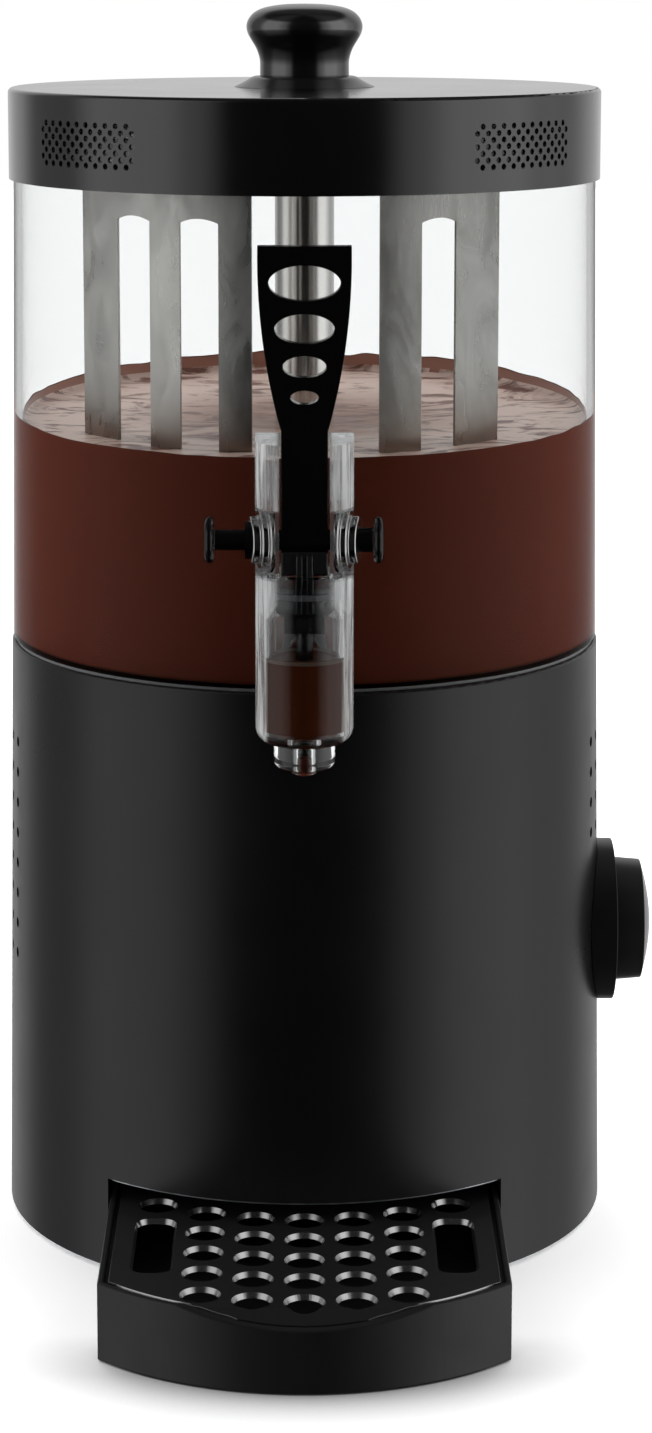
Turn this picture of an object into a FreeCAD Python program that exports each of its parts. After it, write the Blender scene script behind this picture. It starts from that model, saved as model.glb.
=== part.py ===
import FreeCAD, Part
import math
import os
import re

import Sketcher

# Hot chocolate dispenser machine, in millimetres.
# The origin is where the axis of the round body meets the table. +Z is up, the tap is on the -Y side
# and the control dial is on the +X side.

DOC = FreeCAD.newDocument("HotChocolateDispenser")
SHEET = DOC.addObject("Spreadsheet::Sheet", "dim")
SUBPARTS = []

# Driving dimensions: alias, value. Heights ending in _z are measured from the table.
DIMENSIONS = [
    # casing
    ("sheet_metal", 1.2),
    ("casing_bottom_z", 2),
    ("casing_top_z", 226),
    ("casing_bottom_radius", 117),
    ("casing_top_radius", 113.5),
    ("casing_lip_radius", 105),
    ("cutout_half_width", 73.3),
    ("cutout_top_z", 36.2),
    ("casing_edge_round", 1),
    # side vents
    ("vent_radius", 2),
    ("vent_top_z", 189.3),
    ("vent_pitch_z", 11.9),
    ("vent_pitch_angle", 6),
    ("vent_first_angle", 74),
    # base plate, feet and tray bay
    ("base_plate_radius", 115),
    ("base_plate_z", 5),
    ("base_plate_thick", 1.5),
    ("foot_radius", 10),
    ("foot_place", 62),
    ("rail_half_gap", 45),
    ("bay_half_width", 73.6),
    ("bay_height", 28.7),
    ("bay_back_y", 58),
    ("rail_width", 4),
    ("rail_length", 26),
    ("rail_height", 0.5),
    ("screw_distance", 104),
    ("screw_radius", 2),
    ("screw_length", 8),
    ("screw_head_radius", 3.8),
    ("screw_head_height", 2.2),
    ("tab_length", 20),
    ("tab_width", 12),
    # water bath, heater and seal
    ("tank_radius", 103.5),
    ("tank_wall", 1),
    ("tank_bottom_z", 188),
    ("tank_flange_radius", 110),
    ("tank_tube_radius", 8),
    ("heater_inner_radius", 55),
    ("heater_outer_radius", 85),
    ("heater_thick", 8),
    ("terminal_radius", 2.5),
    ("terminal_length", 14),
    ("terminal_half_gap", 9),
    ("terminal_distance", 70),
    ("cutout_disc_radius", 8),
    ("cutout_disc_height", 7),
    ("seal_inner_radius", 104),
    ("seal_outer_radius", 112),
    ("seal_thick", 1),
    # drive
    ("motor_plate_z", 146),
    ("motor_plate_radius", 45),
    ("motor_plate_thick", 1.5),
    ("bracket_leg_distance", 39),
    ("bracket_leg_radius", 4),
    ("motor_screw_distance", 22),
    ("motor_screw_radius", 2),
    ("motor_screw_depth", 10),
    ("motor_screw_head_radius", 3.5),
    ("motor_screw_head_height", 2.4),
    ("gearbox_radius", 30),
    ("gearbox_height", 26),
    ("motor_radius", 24),
    ("motor_height", 40),
    ("motor_boss_radius", 8),
    ("motor_boss_height", 4),
    ("shaft_socket_floor", 9),
    ("bush_length", 18),
    ("shaft_seal_length", 5),
    ("shaft_radius", 4),
    ("shaft_top_z", 420),
    ("tang_length", 12),
    ("tang_thick", 5),
    ("running_gap", 0.05),
    # control dial
    ("dial_z", 110.5),
    ("bezel_radius", 31.6),
    ("bezel_face_x", 121.2),
    ("dial_radius", 24.2),
    ("dial_end_radius", 23.3),
    ("dial_length", 11.2),
    ("dial_dome", 3.7),
    ("spindle_radius", 3),
    ("bush_radius", 5),
    ("bush_start_x", 106),
    ("thermostat_x", 82),
    ("thermostat_size", 30),
    ("tag_length", 6),
    ("tag_height", 6.3),
    ("dial_gap", 0.3),
    ("dial_socket_depth", 6),
    # cord gland
    ("gland_z", 26),
    ("gland_radius", 6.2),
    ("gland_bore_radius", 3.6),
    ("gland_collar_thick", 4),
    ("gland_stem_length", 16),
    ("gland_stem_inside", 12),
    ("block_back_y", 92),
    ("block_length", 44),
    ("block_width", 14),
    ("block_height", 15),
    # bowl
    ("bowl_bottom_z", 227),
    ("bowl_top_z", 408.5),
    ("bowl_bottom_radius", 113),
    ("bowl_top_radius", 110.6),
    ("bowl_wall", 3),
    ("bowl_floor", 4),
    ("bowl_spigot_radius", 102),
    ("bowl_spigot_depth", 11),
    ("stack_radius", 8.5),
    ("stack_bore_radius", 5.5),
    ("stack_top_z", 405),
    # tap
    ("tap_distance", 150),
    ("tap_radius", 17),
    ("tap_bottom_z", 217),
    ("tap_top_z", 322.5),
    ("chamber_radius", 12.35),
    ("chamber_floor", 4),
    ("slot_half_width", 8.6),
    ("slot_bottom_z", 277),
    ("tap_back", 19),
    ("pivot_z", 288),
    ("washer_radius", 11.2),
    ("washer_step", 1.6),
    ("washer_thick", 2),
    ("washer_pitch", 3),
    ("web_thick", 1.4),
    ("inlet_z", 241.5),
    ("inlet_radius", 9),
    ("inlet_bore_radius", 6.5),
    ("inlet_flange_radius", 13),
    ("nut_radius", 11.9),
    ("nut_thick", 5),
    ("pad_outer_distance", 117),
    ("pad_inner_distance", 105.5),
    ("nozzle_radius", 10.65),
    ("nozzle_drop", 9),
    ("nozzle_lip", 2.4),
    ("nozzle_bore_radius", 2.7),
    ("pin_radius", 3.6),
    ("pin_head_radius", 8.1),
    ("pin_head_thick", 3.2),
    ("pin_left_reach", 34.3),
    ("pin_right_reach", 26.9),
    # tap lever and plunger
    ("lever_top_z", 389),
    ("lever_neck_z", 325),
    ("lever_top_half_width", 16),
    ("lever_neck_half_width", 7.8),
    ("lever_thick", 6),
    ("lever_bulge", 2.4),
    ("stem_half_width", 8),
    ("stem_depth", 11.2),
    ("crank_arm", 11),
    ("crank_pin_radius", 2),
    ("lever_hole_half_width", 12.3),
    ("cup_radius", 11.6),
    ("plunger_head_z", 278.5),
    ("cup_top_z", 273),
    ("cup_bottom_z", 262),
    ("yoke_half_width", 4),
    ("plunger_rod_radius", 3),
    ("valve_radius", 7.3),
    ("valve_thick", 5),
    ("yoke_reach", 4.6),
    # agitator
    ("tube_radius", 11.35),
    ("tube_wall", 1.25),
    ("tube_bottom_z", 233),
    ("panel_radius", 92),
    ("panel_thick", 1.2),
    ("panel_bottom_z", 238),
    ("window_bottom_z", 252),
    ("window_top_z", 393),
    ("spoke_width", 11),
    ("spoke_thick", 1.5),
    # lid
    ("lid_radius", 112.4),
    ("lid_bottom_z", 403),
    ("lid_top_z", 437),
    ("lid_ledge_radius", 104.5),
    ("lid_edge_round", 1.8),
    ("lid_hole_radius", 1.1),
    ("lid_hole_top_z", 426.3),
    ("lid_hole_row_pitch", 2.4),
    ("lid_hole_arc_pitch", 4.85),
    ("lid_patch_angle", 45.3),
    ("knob_radius", 22),
    ("knob_neck_radius", 16.4),
    ("knob_top_z", 468.2),
    ("knob_foot_radius", 26.8),
    ("knob_foot_height", 4),
    ("knob_screw_radius", 2.5),
    ("knob_screw_length", 16),
    # drip tray and its grille
    ("tray_half_width", 72.5),
    ("tray_back_y", 60),
    ("tray_corner_y", 173.5),
    ("tray_front_y", 202.5),
    ("tray_wall", 2),
    ("tray_floor_z", 7),
    ("tray_rim_z", 28.8),
    ("tray_lip_z", 23),
    ("tray_skirt_z", 0.5),
    ("tray_skirt_y", 93),
    ("grille_gap", 1.8),
    ("grille_top_z", 28.2),
    ("grille_thick", 2),
    ("grille_hole_radius", 6.75),
    ("grille_hole_first_y", 112.5),
    ("grille_row_pitch", 19.1),
    ("grille_column_pitch", 18.1),
    ("grille_row_bow", 0.0052),
    ("grille_slot_half_width", 7),
    ("grille_slot_half_length", 25.5),
    ("grille_slot_corner", 5),
    ("bevel_start_y", 192.5),
    ("lip_half_width", 47),
    ("lip_bottom_z", 19.5),
]

for row, (alias, number) in enumerate(DIMENSIONS, start=1):
    SHEET.set(f"A{row}", alias.replace("_", " "))
    SHEET.set(f"B{row}", str(number))
    SHEET.setAlias(f"B{row}", alias)
DOC.recompute()
ALIASES = {alias for alias, number in DIMENSIONS}


def sheet_expression(text):
    """The same expression with each alias read from the dimension sheet."""
    return re.sub(r"[a-z_]+", lambda m: f"dim.{m[0]}" if m[0] in ALIASES else m[0], str(text))


def value(text):
    """The number that an expression over the dimensions gives."""
    return float(SHEET.evalExpression(sheet_expression(text)))


def bind(obj, **expressions):
    """Binds properties of an object to expressions over the dimensions."""
    for name, text in expressions.items():
        obj.setExpression(name.replace("__", "."), sheet_expression(text))


ROTATIONS = {
    "Z": FreeCAD.Rotation(),
    "X": FreeCAD.Rotation(FreeCAD.Vector(0, 1, 0), 90),
    "Y": FreeCAD.Rotation(FreeCAD.Vector(1, 0, 0), -90),
}


def place(obj, at, rotation=ROTATIONS["Z"]):
    """Turns an object and binds its place to three expressions."""
    obj.Placement = FreeCAD.Placement(FreeCAD.Vector(), rotation)
    bind(obj, Placement__Base__x=at[0], Placement__Base__y=at[1], Placement__Base__z=at[2])
    return obj


def box(low, size):
    """Box from its lowest corner and its size along X, Y and Z."""
    obj = DOC.addObject("Part::Box", "Box")
    bind(obj, Length=size[0], Width=size[1], Height=size[2])
    return place(obj, low)


def slab(half_width, y_from, y_to, z_from, z_to):
    """Box that is centred on X and runs between two values of Y and of Z."""
    size = (f"2 * ({half_width})", f"({y_to}) - ({y_from})", f"({z_to}) - ({z_from})")
    return box((f"-({half_width})", y_from, z_from), size)


def cylinder(radius, length, at=("0", "0", "0"), along="Z"):
    """Cylinder that starts at a point and runs along an axis."""
    obj = DOC.addObject("Part::Cylinder", "Cylinder")
    bind(obj, Radius=radius, Height=length)
    return place(obj, at, ROTATIONS[along])


def fuse(*parts):
    """Union of two or more objects."""
    obj = DOC.addObject("Part::MultiFuse", "Fusion")
    obj.Shapes = list(parts)
    obj.Refine = True
    return obj


def group(*parts):
    """Separate solids that are kept in one sub-part."""
    obj = DOC.addObject("Part::Compound", "Group")
    obj.Links = list(parts)
    return obj


def cut(base, *tools):
    """Base with one or more tools taken away."""
    obj = DOC.addObject("Part::Cut", "Cut")
    obj.Base = base
    obj.Tool = tools[0] if len(tools) == 1 else group(*tools)
    return obj


def common(base, tool):
    """What two objects share."""
    obj = DOC.addObject("Part::Common", "Common")
    obj.Base = base
    obj.Tool = tool
    return obj


def ring(outer, inner, length, at=("0", "0", "0"), along="Z"):
    """Cylinder with a hole along its axis."""
    return cut(cylinder(outer, length, at, along), cylinder(inner, length, at, along))


def turned_copy(source, angle):
    """Copy of an object, turned about the body's axis."""
    obj = DOC.addObject("Part::Compound", "Turned")
    obj.Links = [source]
    obj.Placement = FreeCAD.Placement(
        FreeCAD.Vector(), FreeCAD.Rotation(FreeCAD.Vector(0, 0, 1), angle)
    )
    return obj


def origin_feature(body, role):
    """Plane or axis of a body's own origin."""
    return next(item for item in body.Origin.OriginFeatures if item.Role == role)


def outline_sketch(body, plane, corners, offset="0"):
    """Closed sketch through corners whose coordinates are bound to the sheet.

    A corner is (u, v), reached by a line, or (u, v, mid_u, mid_v), reached by an arc through the mid point.
    """
    sketch = body.newObject("Sketcher::SketchObject", "Outline")
    sketch.AttachmentSupport = [(origin_feature(body, plane), "")]
    sketch.MapMode = "FlatFace"
    bind(sketch, AttachmentOffset__Base__z=offset)
    points = [FreeCAD.Vector(value(corner[0]), value(corner[1]), 0) for corner in corners]
    ends = []
    for index, corner in enumerate(corners):
        start, end = points[index - 1], points[index]
        if len(corner) == 4:
            middle = FreeCAD.Vector(value(corner[2]), value(corner[3]), 0)
            edge = sketch.addGeometry(Part.Arc(start, middle, end), False)
            helper = sketch.addGeometry(Part.Point(middle), True)
            bind_point(sketch, helper, 1, corner[2:])
            sketch.addConstraint(Sketcher.Constraint("PointOnObject", helper, 1, edge))
        else:
            edge = sketch.addGeometry(Part.LineSegment(start, end), False)
        first = 1 if sketch.getPoint(edge, 1).distanceToPoint(start) < 1e-4 else 2
        ends.append((edge, first, 3 - first))
    for index, corner in enumerate(corners):
        edge, _, last = ends[index]
        following, first, _ = ends[(index + 1) % len(ends)]
        sketch.addConstraint(Sketcher.Constraint("Coincident", edge, last, following, first))
        bind_point(sketch, edge, last, corner[:2])
    return sketch


def bind_point(sketch, geometry, position, coordinates):
    """Holds a sketch point at two expressions, measured from the sketch's origin."""
    for kind, text in zip(("DistanceX", "DistanceY"), coordinates):
        number = sketch.addConstraint(
            Sketcher.Constraint(kind, -1, 1, geometry, position, value(text))
        )
        sketch.setExpression(f"Constraints[{number}]", sheet_expression(text))


def dome(radius, low, top):
    """Corner at the top of a spherical cap that starts at a radius and height on the profile."""
    rise = f"(({top}) - ({low}))"
    sphere = f"((({radius})^2 + {rise}^2) / (2 * {rise}))"
    return ("0", top, f"({radius}) / 2", f"({top}) - {sphere} + sqrt({sphere}^2 - ({radius})^2 / 4)")


def turned(profile):
    """Body of revolution about Z from (radius, height) corners."""
    body = DOC.addObject("PartDesign::Body", "Turned")
    sketch = outline_sketch(body, "XZ_Plane", profile)
    revolution = body.newObject("PartDesign::Revolution", "Revolution")
    revolution.Profile = sketch
    revolution.ReferenceAxis = (sketch, ["V_Axis"])
    revolution.Angle = 360
    body.Tip = revolution
    return body


def padded(outline, length, plane="XY_Plane", offset="0", midplane=False):
    """Body that is an outline pushed out to a thickness."""
    body = DOC.addObject("PartDesign::Body", "Padded")
    sketch = outline_sketch(body, plane, outline, offset)
    pad = body.newObject("PartDesign::Pad", "Pad")
    pad.Profile = sketch
    bind(pad, Length=length)
    pad.Midplane = midplane
    body.Tip = pad
    return body


def rounded(body, radius, heights, edge_radius):
    """Fillets a turned body's round edges that lie at the given heights and radius."""
    DOC.recompute()
    levels = [value(height) for height in heights]
    names = []
    for number, edge in enumerate(body.Shape.Edges, start=1):
        if edge.Degenerated or not isinstance(edge.Curve, Part.Circle):
            continue
        same_radius = abs(edge.Curve.Radius - value(edge_radius)) < 0.01
        if same_radius and any(abs(edge.Curve.Center.z - level) < 0.01 for level in levels):
            names.append(f"Edge{number}")
    base = body.Tip
    fillet = body.newObject("PartDesign::Fillet", "Fillet")
    fillet.Base = (base, names)
    bind(fillet, Radius=radius)
    body.Tip = fillet
    return body


def hole_field(radius, from_radius, to_radius, places):
    """Drill-sized cylinders that point away from the Z axis, one for each (azimuth, height).

    Azimuth is in degrees from the front, and grows towards +X.
    """
    drills = []
    for azimuth, height in places:
        out = FreeCAD.Vector(math.sin(math.radians(azimuth)), -math.cos(math.radians(azimuth)), 0)
        start = out * from_radius + FreeCAD.Vector(0, 0, height)
        drills.append(Part.makeCylinder(radius, to_radius - from_radius, start, out))
    field = DOC.addObject("Part::Feature", "HoleField")
    field.Shape = Part.makeCompound(drills)
    return field


def subpart(label, obj):
    """Names a finished sub-part and lists it for export."""
    obj.Label = label
    SUBPARTS.append(obj)
    return obj


def around(distance, angle):
    """X and Y expressions of a point at a distance from the Z axis, at an angle from +X."""
    turn = math.radians(angle)
    return f"{distance} * ({math.cos(turn):.6f})", f"{distance} * ({math.sin(turn):.6f})"


def azimuth_rotation(azimuth):
    """Angle about Z that carries the +X direction to an azimuth measured from the front."""
    return azimuth - 90


# ---------------------------------------------------------------- casing and what stands in it


def casing_radius(height):
    """Expression for the casing's outer radius at a height."""
    share = f"(({height}) - casing_bottom_z) / (casing_top_z - casing_bottom_z)"
    return f"(casing_bottom_radius + (casing_top_radius - casing_bottom_radius) * {share})"


def casing_shell():
    """Flared sheet-metal jacket with a rolled-in top lip, vents, and openings for tray, dial and cord."""
    shell = turned(
        [
            ("casing_bottom_radius", "casing_bottom_z"),
            ("casing_top_radius", "casing_top_z"),
            ("casing_lip_radius", "casing_top_z"),
            ("casing_lip_radius", "casing_top_z - sheet_metal"),
            ("casing_top_radius - sheet_metal", "casing_top_z - sheet_metal"),
            ("casing_bottom_radius - sheet_metal", "casing_bottom_z"),
        ]
    )
    rounded(shell, "casing_edge_round", ["casing_top_z"], "casing_top_radius")
    tray_opening = slab("cutout_half_width", -130, -80, 0, "cutout_top_z")
    dial_hole = cylinder("bush_radius + 0.2", 20, ("105", "0", "dial_z"), "X")
    gland_hole = cylinder("gland_radius + 0.1", 20, ("0", "105", "gland_z"), "Y")
    places = []
    for side, columns, rows in ((-1, 6, 8), (1, 6, 4)):
        for column in range(columns):
            azimuth = value("vent_first_angle") + column * value("vent_pitch_angle")
            for level in range(rows):
                height = value("vent_top_z") - level * value("vent_pitch_z")
                places.append((side * azimuth, height))
    vents = hole_field(value("vent_radius"), 100, 125, places)
    return subpart("casing_shell", cut(shell, tray_opening, dial_hole, gland_hole, vents))


SCREW_AZIMUTHS = (-100, 100, 155, -155)


def base_parts():
    """Base plate with tray rails and screw tabs, its screws, and the rubber feet."""
    low, thick = "base_plate_z", "base_plate_thick"
    plate = cut(
        cylinder("base_plate_radius", thick, ("0", "0", low)),
        slab("bay_half_width + 0.6", -130, "-tray_skirt_y + 1", 0, 10),
    )
    rails = []
    for side in (-1, 1):
        corner = (f"{side} * rail_half_gap - rail_width / 2", "-tray_skirt_y + 3", f"{low} + {thick}")
        rails.append(box(corner, ("rail_width", "rail_length", "rail_height")))
    drills = []
    screws = []
    for azimuth in SCREW_AZIMUTHS:
        x, y = around("screw_distance", azimuth_rotation(azimuth))
        drills.append(cylinder("screw_radius", 12, (x, y, "0")))
        shank = cylinder("screw_radius", "screw_length", (x, y, low))
        head = cylinder("screw_head_radius", "screw_head_height", (x, y, f"{low} - screw_head_height"))
        screws.append(fuse(shank, head))
    subpart("base_plate", cut(fuse(plate, *rails), *drills))
    subpart("base_screws", group(*screws))
    feet = []
    for side_x in (-1, 1):
        for side_y in (-1, 1):
            at = (f"{side_x} * foot_place", f"{side_y} * foot_place", "0")
            feet.append(cylinder("foot_radius", low, at))
    subpart("rubber_feet", group(*feet))
    tabs = []
    for azimuth in SCREW_AZIMUTHS:
        top = f"{low} + {thick}"
        corner = ("screw_distance - tab_width / 2", "-tab_width / 2", top)
        tab = box(corner, ("tab_length", "tab_width", "sheet_metal"))
        tab = cut(tab, cylinder("screw_radius", 12, ("screw_distance", "0", "0")))
        tabs.append(turned_copy(tab, azimuth_rotation(azimuth)))
    tab_limit = "dial_z"
    inside = turned(
        [
            ("0", "casing_bottom_z"),
            ("casing_bottom_radius - sheet_metal", "casing_bottom_z"),
            (f"{casing_radius(tab_limit)} - sheet_metal", tab_limit),
            ("0", tab_limit),
        ]
    )
    subpart("casing_tabs", common(group(*tabs), inside))


def tray_bay():
    """Sheet-metal bay that keeps the drip tray apart from the wiring."""
    floor = "base_plate_z + base_plate_thick"
    outer = slab(
        "bay_half_width + sheet_metal", -120, "-bay_back_y + sheet_metal", floor,
        f"{floor} + bay_height + sheet_metal",
    )
    inner = slab("bay_half_width", -121, "-bay_back_y", 0, f"{floor} + bay_height")
    inside = cylinder("base_plate_radius", 60)
    return subpart("tray_bay", common(cut(outer, inner), inside))


def water_bath():
    """Water tank under the bowl, its heater with a thermal cut-out, and the silicone seal."""
    top = "casing_top_z - sheet_metal"
    tank = turned(
        [
            ("tank_tube_radius - tank_wall", "tank_bottom_z"),
            ("tank_radius", "tank_bottom_z"),
            ("tank_radius", f"{top} - tank_wall"),
            ("tank_flange_radius", f"{top} - tank_wall"),
            ("tank_flange_radius", top),
            ("tank_radius - tank_wall", top),
            ("tank_radius - tank_wall", "tank_bottom_z + tank_wall"),
            ("tank_tube_radius", "tank_bottom_z + tank_wall"),
            ("tank_tube_radius", "casing_top_z - 2"),
            ("tank_tube_radius - tank_wall", "casing_top_z - 2"),
        ]
    )
    subpart("water_tank", tank)
    below = "tank_bottom_z - heater_thick"
    heater = ring("heater_outer_radius", "heater_inner_radius", "heater_thick", ("0", "0", below))
    terminals = []
    for side in (-1, 1):
        at = (f"{side} * terminal_half_gap", "-terminal_distance", f"{below} - terminal_length")
        terminals.append(cylinder("terminal_radius", "terminal_length", at))
    subpart("heater_ring", fuse(heater, *terminals))
    cutout_place = ("-terminal_distance", "0", f"{below} - cutout_disc_height")
    subpart("thermal_cutout", cylinder("cutout_disc_radius", "cutout_disc_height", cutout_place))
    seal = ring("seal_outer_radius", "seal_inner_radius", "seal_thick", ("0", "0", "casing_top_z"))
    subpart("bowl_seal", seal)


def drive():
    """Gearmotor on its hanging bracket, the drive shaft, and the bush and seal in the tank's tube."""
    plate_top = "motor_plate_z + motor_plate_thick"
    bore = "shaft_radius + running_gap"
    plate = ring(
        "motor_plate_radius", "shaft_radius + 2", "motor_plate_thick", ("0", "0", "motor_plate_z")
    )
    legs = []
    screws = []
    screw_holes = []
    for step in range(3):
        angle = 90 + 120 * step
        x, y = around("bracket_leg_distance", angle)
        legs.append(cylinder("bracket_leg_radius", f"tank_bottom_z - ({plate_top})", (x, y, plate_top)))
        x, y = around("motor_screw_distance", angle)
        foot = (x, y, "motor_plate_z - motor_screw_depth")
        length = "motor_screw_depth + motor_plate_thick"
        shank = cylinder("motor_screw_radius", length, foot)
        head = cylinder("motor_screw_head_radius", "motor_screw_head_height", (x, y, plate_top))
        screws.append(fuse(shank, head))
        screw_holes.append(cylinder("motor_screw_radius", length, foot))
    subpart("motor_bracket", cut(fuse(plate, *legs), *screw_holes))
    subpart("motor_screws", group(*screws))
    gearbox_bottom = "motor_plate_z - gearbox_height"
    gearbox = cut(
        cylinder("gearbox_radius", "gearbox_height", ("0", "0", gearbox_bottom)),
        cylinder(bore, "gearbox_height", ("0", "0", f"{gearbox_bottom} + shaft_socket_floor")),
        *screw_holes,
    )
    subpart("gearbox", gearbox)
    can = cylinder("motor_radius", "motor_height", ("0", "0", f"{gearbox_bottom} - motor_height"))
    boss_z = f"{gearbox_bottom} - motor_height - motor_boss_height"
    boss = cylinder("motor_boss_radius", "motor_boss_height", ("0", "0", boss_z))
    subpart("motor_can", fuse(can, boss))

    start = f"{gearbox_bottom} + shaft_socket_floor + 1"
    shaft = cylinder("shaft_radius", f"shaft_top_z - ({start})", ("0", "0", start))
    flats = [
        box(
            (f"{side} * (tang_thick / 2 + 5) - 5", "-10", "shaft_top_z - tang_length"),
            ("10", "20", "20"),
        )
        for side in (-1, 1)
    ]
    subpart("drive_shaft", cut(shaft, *flats))
    tube_bore = "tank_tube_radius - tank_wall"
    bush_z = "casing_top_z - 2 - bush_length"
    subpart("shaft_bush", ring(tube_bore, bore, "bush_length", ("0", "0", bush_z)))
    seal_z = f"{bush_z} - 1 - shaft_seal_length"
    subpart("shaft_seal", ring(tube_bore, bore, "shaft_seal_length", ("0", "0", seal_z)))


def control():
    """Thermostat with its bush, the spindle, the bezel and the dial, all on a line along X."""
    centre = ("0", "dial_z")
    body = box(
        ("thermostat_x", "-thermostat_size / 2", "dial_z - thermostat_size / 2"),
        ("bush_start_x - thermostat_x", "thermostat_size", "thermostat_size"),
    )
    bush = cylinder("bush_radius", 12.5, ("bush_start_x", *centre), "X")
    spindle_start = "thermostat_x + 8"
    spindle_bore = cylinder("spindle_radius + running_gap", 30, (spindle_start, *centre), "X")
    subpart("thermostat", cut(fuse(body, bush), spindle_bore))
    tags = []
    for y in (-9, -3, 3, 9):
        corner = ("thermostat_x - tag_length", str(y), "dial_z - 4")
        tags.append(box(corner, ("tag_length", "1", "tag_height")))
    subpart("thermostat_tags", group(*tags))
    shell_outside = turned(
        [
            ("0", "casing_bottom_z"),
            ("casing_bottom_radius", "casing_bottom_z"),
            ("casing_top_radius", "casing_top_z"),
            ("0", "casing_top_z"),
        ]
    )
    disc = cylinder("bezel_radius", "bezel_face_x - bush_start_x", ("bush_start_x", *centre), "X")
    bezel = cut(disc, shell_outside, cylinder("bush_radius", 30, ("100", *centre), "X"))
    subpart("dial_bezel", bezel)
    start = f"{spindle_start} + 2"
    length = f"bezel_face_x + dial_socket_depth - ({start})"
    subpart("dial_spindle", cylinder("spindle_radius", length, (start, *centre), "X"))
    # The dial is turned on Z and then laid over, so that its axis points along +X.
    dial = turned(
        [
            ("spindle_radius", "dial_gap"),
            ("dial_radius", "dial_gap"),
            ("dial_end_radius", "dial_length"),
            dome("dial_end_radius", "dial_length", "dial_length + dial_dome"),
            ("0", "dial_socket_depth"),
            ("spindle_radius", "dial_socket_depth"),
        ]
    )
    place(dial, ("bezel_face_x", "0", "dial_z"), ROTATIONS["X"])
    subpart("control_dial", dial)


def wiring():
    """Terminal block on the base plate and the cord gland in the back wall."""
    floor = "base_plate_z + base_plate_thick"
    corner = ("-block_length / 2", "block_back_y - block_width", floor)
    block = box(corner, ("block_length", "block_width", "block_height"))
    wire_holes = [cylinder(2, 30, (str(x), "70", f"{floor} + 8"), "Y") for x in (-15, 0, 15)]
    subpart("terminal_block", cut(block, *wire_holes))
    wall = f"{casing_radius('gland_z')}"
    stem_place = ("0", f"{wall} - gland_stem_inside", "gland_z")
    stem = cylinder("gland_radius", "gland_stem_length", stem_place, "Y")
    collar = cylinder("gland_radius + 3", "gland_collar_thick", ("0", f"{wall} + 0.2", "gland_z"), "Y")
    bore = cylinder("gland_bore_radius", 40, ("0", f"{wall} - 20", "gland_z"), "Y")
    subpart("cord_gland", cut(fuse(stem, collar), bore))
    nut = ring("gland_radius + 3.5", "gland_radius", 4, ("0", f"{wall} - 7", "gland_z"), "Y")
    subpart("gland_nut", nut)


# ---------------------------------------------------------------- bowl and tap


def bowl_shell():
    """Clear bowl with a flat floor, a centring ring below and a central stack above."""
    floor_top = "bowl_bottom_z + bowl_floor"
    shell = turned(
        [
            ("stack_bore_radius", "bowl_bottom_z"),
            ("bowl_spigot_radius - bowl_wall", "bowl_bottom_z"),
            ("bowl_spigot_radius - bowl_wall", "bowl_bottom_z - bowl_spigot_depth"),
            ("bowl_spigot_radius", "bowl_bottom_z - bowl_spigot_depth"),
            ("bowl_spigot_radius", "bowl_bottom_z"),
            ("bowl_bottom_radius", "bowl_bottom_z"),
            ("bowl_top_radius", "bowl_top_z"),
            ("bowl_top_radius - bowl_wall", "bowl_top_z"),
            ("bowl_bottom_radius - bowl_wall", floor_top),
            ("stack_radius", floor_top),
            ("stack_radius", "stack_top_z"),
            ("stack_bore_radius", "stack_top_z"),
        ]
    )
    pad = cylinder(
        "inlet_flange_radius + 0.5",
        "pad_outer_distance - pad_inner_distance",
        ("0", "-pad_outer_distance", "inlet_z"),
        "Y",
    )
    hole = cylinder("inlet_radius", 30, ("0", "-pad_outer_distance - 5", "inlet_z"), "Y")
    return subpart("bowl_shell", cut(fuse(shell, pad), hole))


def tap_housing():
    """Clear tap body: round chamber below, two recessed cheeks above, and the inlet behind."""
    axis_y = "-tap_distance"
    chamber = cylinder("tap_radius", "tap_top_z - tap_bottom_z", ("0", axis_y, "tap_bottom_z"))
    back = slab("tap_radius", axis_y, f"{axis_y} + tap_back", "slot_bottom_z - 18", "tap_top_z")
    recesses = []
    for start in ("-40", "slot_half_width + web_thick"):
        length = "40 - slot_half_width - web_thick"
        recesses.append(cylinder("washer_radius", length, (start, axis_y, "pivot_z"), "X"))
        # Each recess is open to the front, so the washers stand clear there.
        pocket = (start, f"{axis_y} - 20", "pivot_z - washer_radius")
        recesses.append(box(pocket, (length, "20", "2 * washer_radius")))
    flange_y = "-pad_outer_distance - seal_thick - 2.5"
    inlet = cylinder("inlet_radius", "tap_distance - 14 - 100", ("0", f"{axis_y} + 14", "inlet_z"), "Y")
    flange = cylinder("inlet_flange_radius", 2.5, ("0", flange_y, "inlet_z"), "Y")
    solid = fuse(chamber, back, inlet, flange)
    floor = "tap_bottom_z + chamber_floor"
    bore = cylinder("chamber_radius", f"slot_bottom_z + 1 - ({floor})", ("0", axis_y, floor))
    outlet = cylinder("nozzle_bore_radius + 1.8", 10, ("0", axis_y, "tap_bottom_z - 1"))
    slot = slab("slot_half_width", f"{axis_y} - 25", f"{axis_y} + 16", "slot_bottom_z", "tap_top_z + 1")
    inlet_bore = cylinder("inlet_bore_radius", 60, ("0", f"{axis_y} + 3", "inlet_z"), "Y")
    pin_bore = cylinder("pin_radius", 60, ("-30", axis_y, "pivot_z"), "X")
    hollows = (bore, outlet, slot, inlet_bore, pin_bore, *recesses, tap_foot_trim())
    return subpart("tap_housing", cut(solid, *hollows))


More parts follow.
